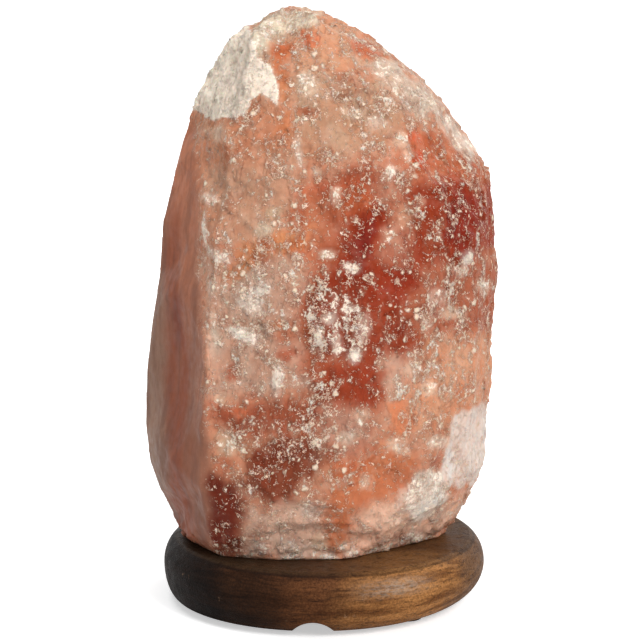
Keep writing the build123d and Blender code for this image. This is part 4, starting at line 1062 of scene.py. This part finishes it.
def make_crystal_screws():
    """Wood screws: the head of the CAD screw, a plain neck, and a sharp thread up to the point."""
    neck_z = SCREWS_LOW.z + SCREW_HEAD_THICK
    tip_z = SCREWS_HIGH.z - SCREW_TIP
    heights = heights_for(neck_z, SCREWS_HIGH.z, SCREW_PITCH)
    radii = SCREW_R * (1 - (5 / 6) * np.clip((heights - tip_z) / SCREW_TIP, 0, 1))

    def lost(height, turn):
        away = np.abs((height / SCREW_PITCH - turn + 0.5) % 1 - 0.5)
        present = smoothstep(neck_z + SCREW_PLAIN, neck_z + SCREW_PLAIN + THREAD_FADE, height)
        taper = 1 - 0.7 * smoothstep(tip_z, SCREWS_HIGH.z, height)
        core = SCREW_DEEP * np.clip(away / 0.3, 0, 1)
        return taper * (0.5 * SCREW_DEEP + (core - 0.5 * SCREW_DEEP) * present)

    shank = turned_points(radii, heights, SCREW_AROUND, lost)
    faces = [*turned_faces(len(heights), SCREW_AROUND, False), end_face(len(heights), SCREW_AROUND)]
    parts = [part_below("crystal_screws", neck_z)]
    parts += [(shank + np.array([x, 0, 0]), faces) for x in (-PLUG_HOLE_X, PLUG_HOLE_X)]
    piece = smooth_piece("threaded_screws", *joined(*parts))
    stand_for(piece, "crystal_screws", "lamp_body", "zinc_steel")


def make_filament():
    """The wound tungsten wire, as a fine coil along the arc of its CAD rod."""
    half = (FILAMENT_HIGH.x - FILAMENT_LOW.x) / 2
    coil_r = (FILAMENT_HIGH.y - FILAMENT_LOW.y) / 2 - FILAMENT_WIRE_R
    middle_z = FILAMENT_HIGH.z - coil_r - FILAMENT_WIRE_R
    end_z = FILAMENT_LOW.z + coil_r + FILAMENT_WIRE_R
    rise = middle_z - end_z
    arc_r = (half ** 2 + rise ** 2) / (2 * rise)
    spread = math.asin(half / arc_r) - coil_r / arc_r
    along = np.linspace(-1, 1, FILAMENT_TURNS * FILAMENT_STEPS + 1)
    lean = along * spread
    outward = np.stack([np.sin(lean), np.zeros(len(lean)), np.cos(lean)], axis=1)
    line = arc_r * outward + np.array([0, 0, middle_z - arc_r])
    spin = np.pi * FILAMENT_TURNS * along
    radial = outward * np.cos(spin)[:, None] + np.array([0, 1, 0]) * np.sin(spin)[:, None]
    wire = line + coil_r * radial
    lead_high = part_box("lead_wires")[1]
    foot = np.array([lead_high.x - LEAD_R, 0, lead_high.z - LEAD_R])
    tail = np.linspace(0, 1, TAIL_STEPS + 1)[:-1, None]
    wire = np.concatenate([foot * [-1, 1, 1] * (1 - tail) + wire[0] * tail, wire,
                           (foot * (1 - tail) + wire[-1] * tail)[::-1]])
    radial = np.concatenate([radial[:1].repeat(TAIL_STEPS, 0), radial, radial[-1:].repeat(TAIL_STEPS, 0)])
    ahead = np.gradient(wire, axis=0)
    ahead /= np.linalg.norm(ahead, axis=1)[:, None]
    aside = np.cross(ahead, radial)
    turn = 2 * np.pi * np.arange(FILAMENT_SIDES)[None, :, None] / FILAMENT_SIDES
    ring = radial[:, None, :] * np.cos(turn) + aside[:, None, :] * np.sin(turn)
    points = (wire[:, None, :] + FILAMENT_WIRE_R * ring).reshape(-1, 3)
    faces = [*turned_faces(len(wire), FILAMENT_SIDES, False), tuple(range(FILAMENT_SIDES))[::-1],
             end_face(len(wire), FILAMENT_SIDES)]
    piece = smooth_piece("coiled_filament", points, faces, 80)
    stand_for(piece, "filament", "bulb", "tungsten")


make_bulb_cap()
make_screw_shell()
make_crystal_screws()
make_filament()

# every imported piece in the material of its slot
slot_of = {part["node"]: part["material_slot"] for part in frame["record"]["subparts"]}
for node, obj in frame["nodes"].items():
    if slot_of[node] in MATERIALS:
        obj.data.materials.clear()
        obj.data.materials.append(MATERIALS[slot_of[node]])
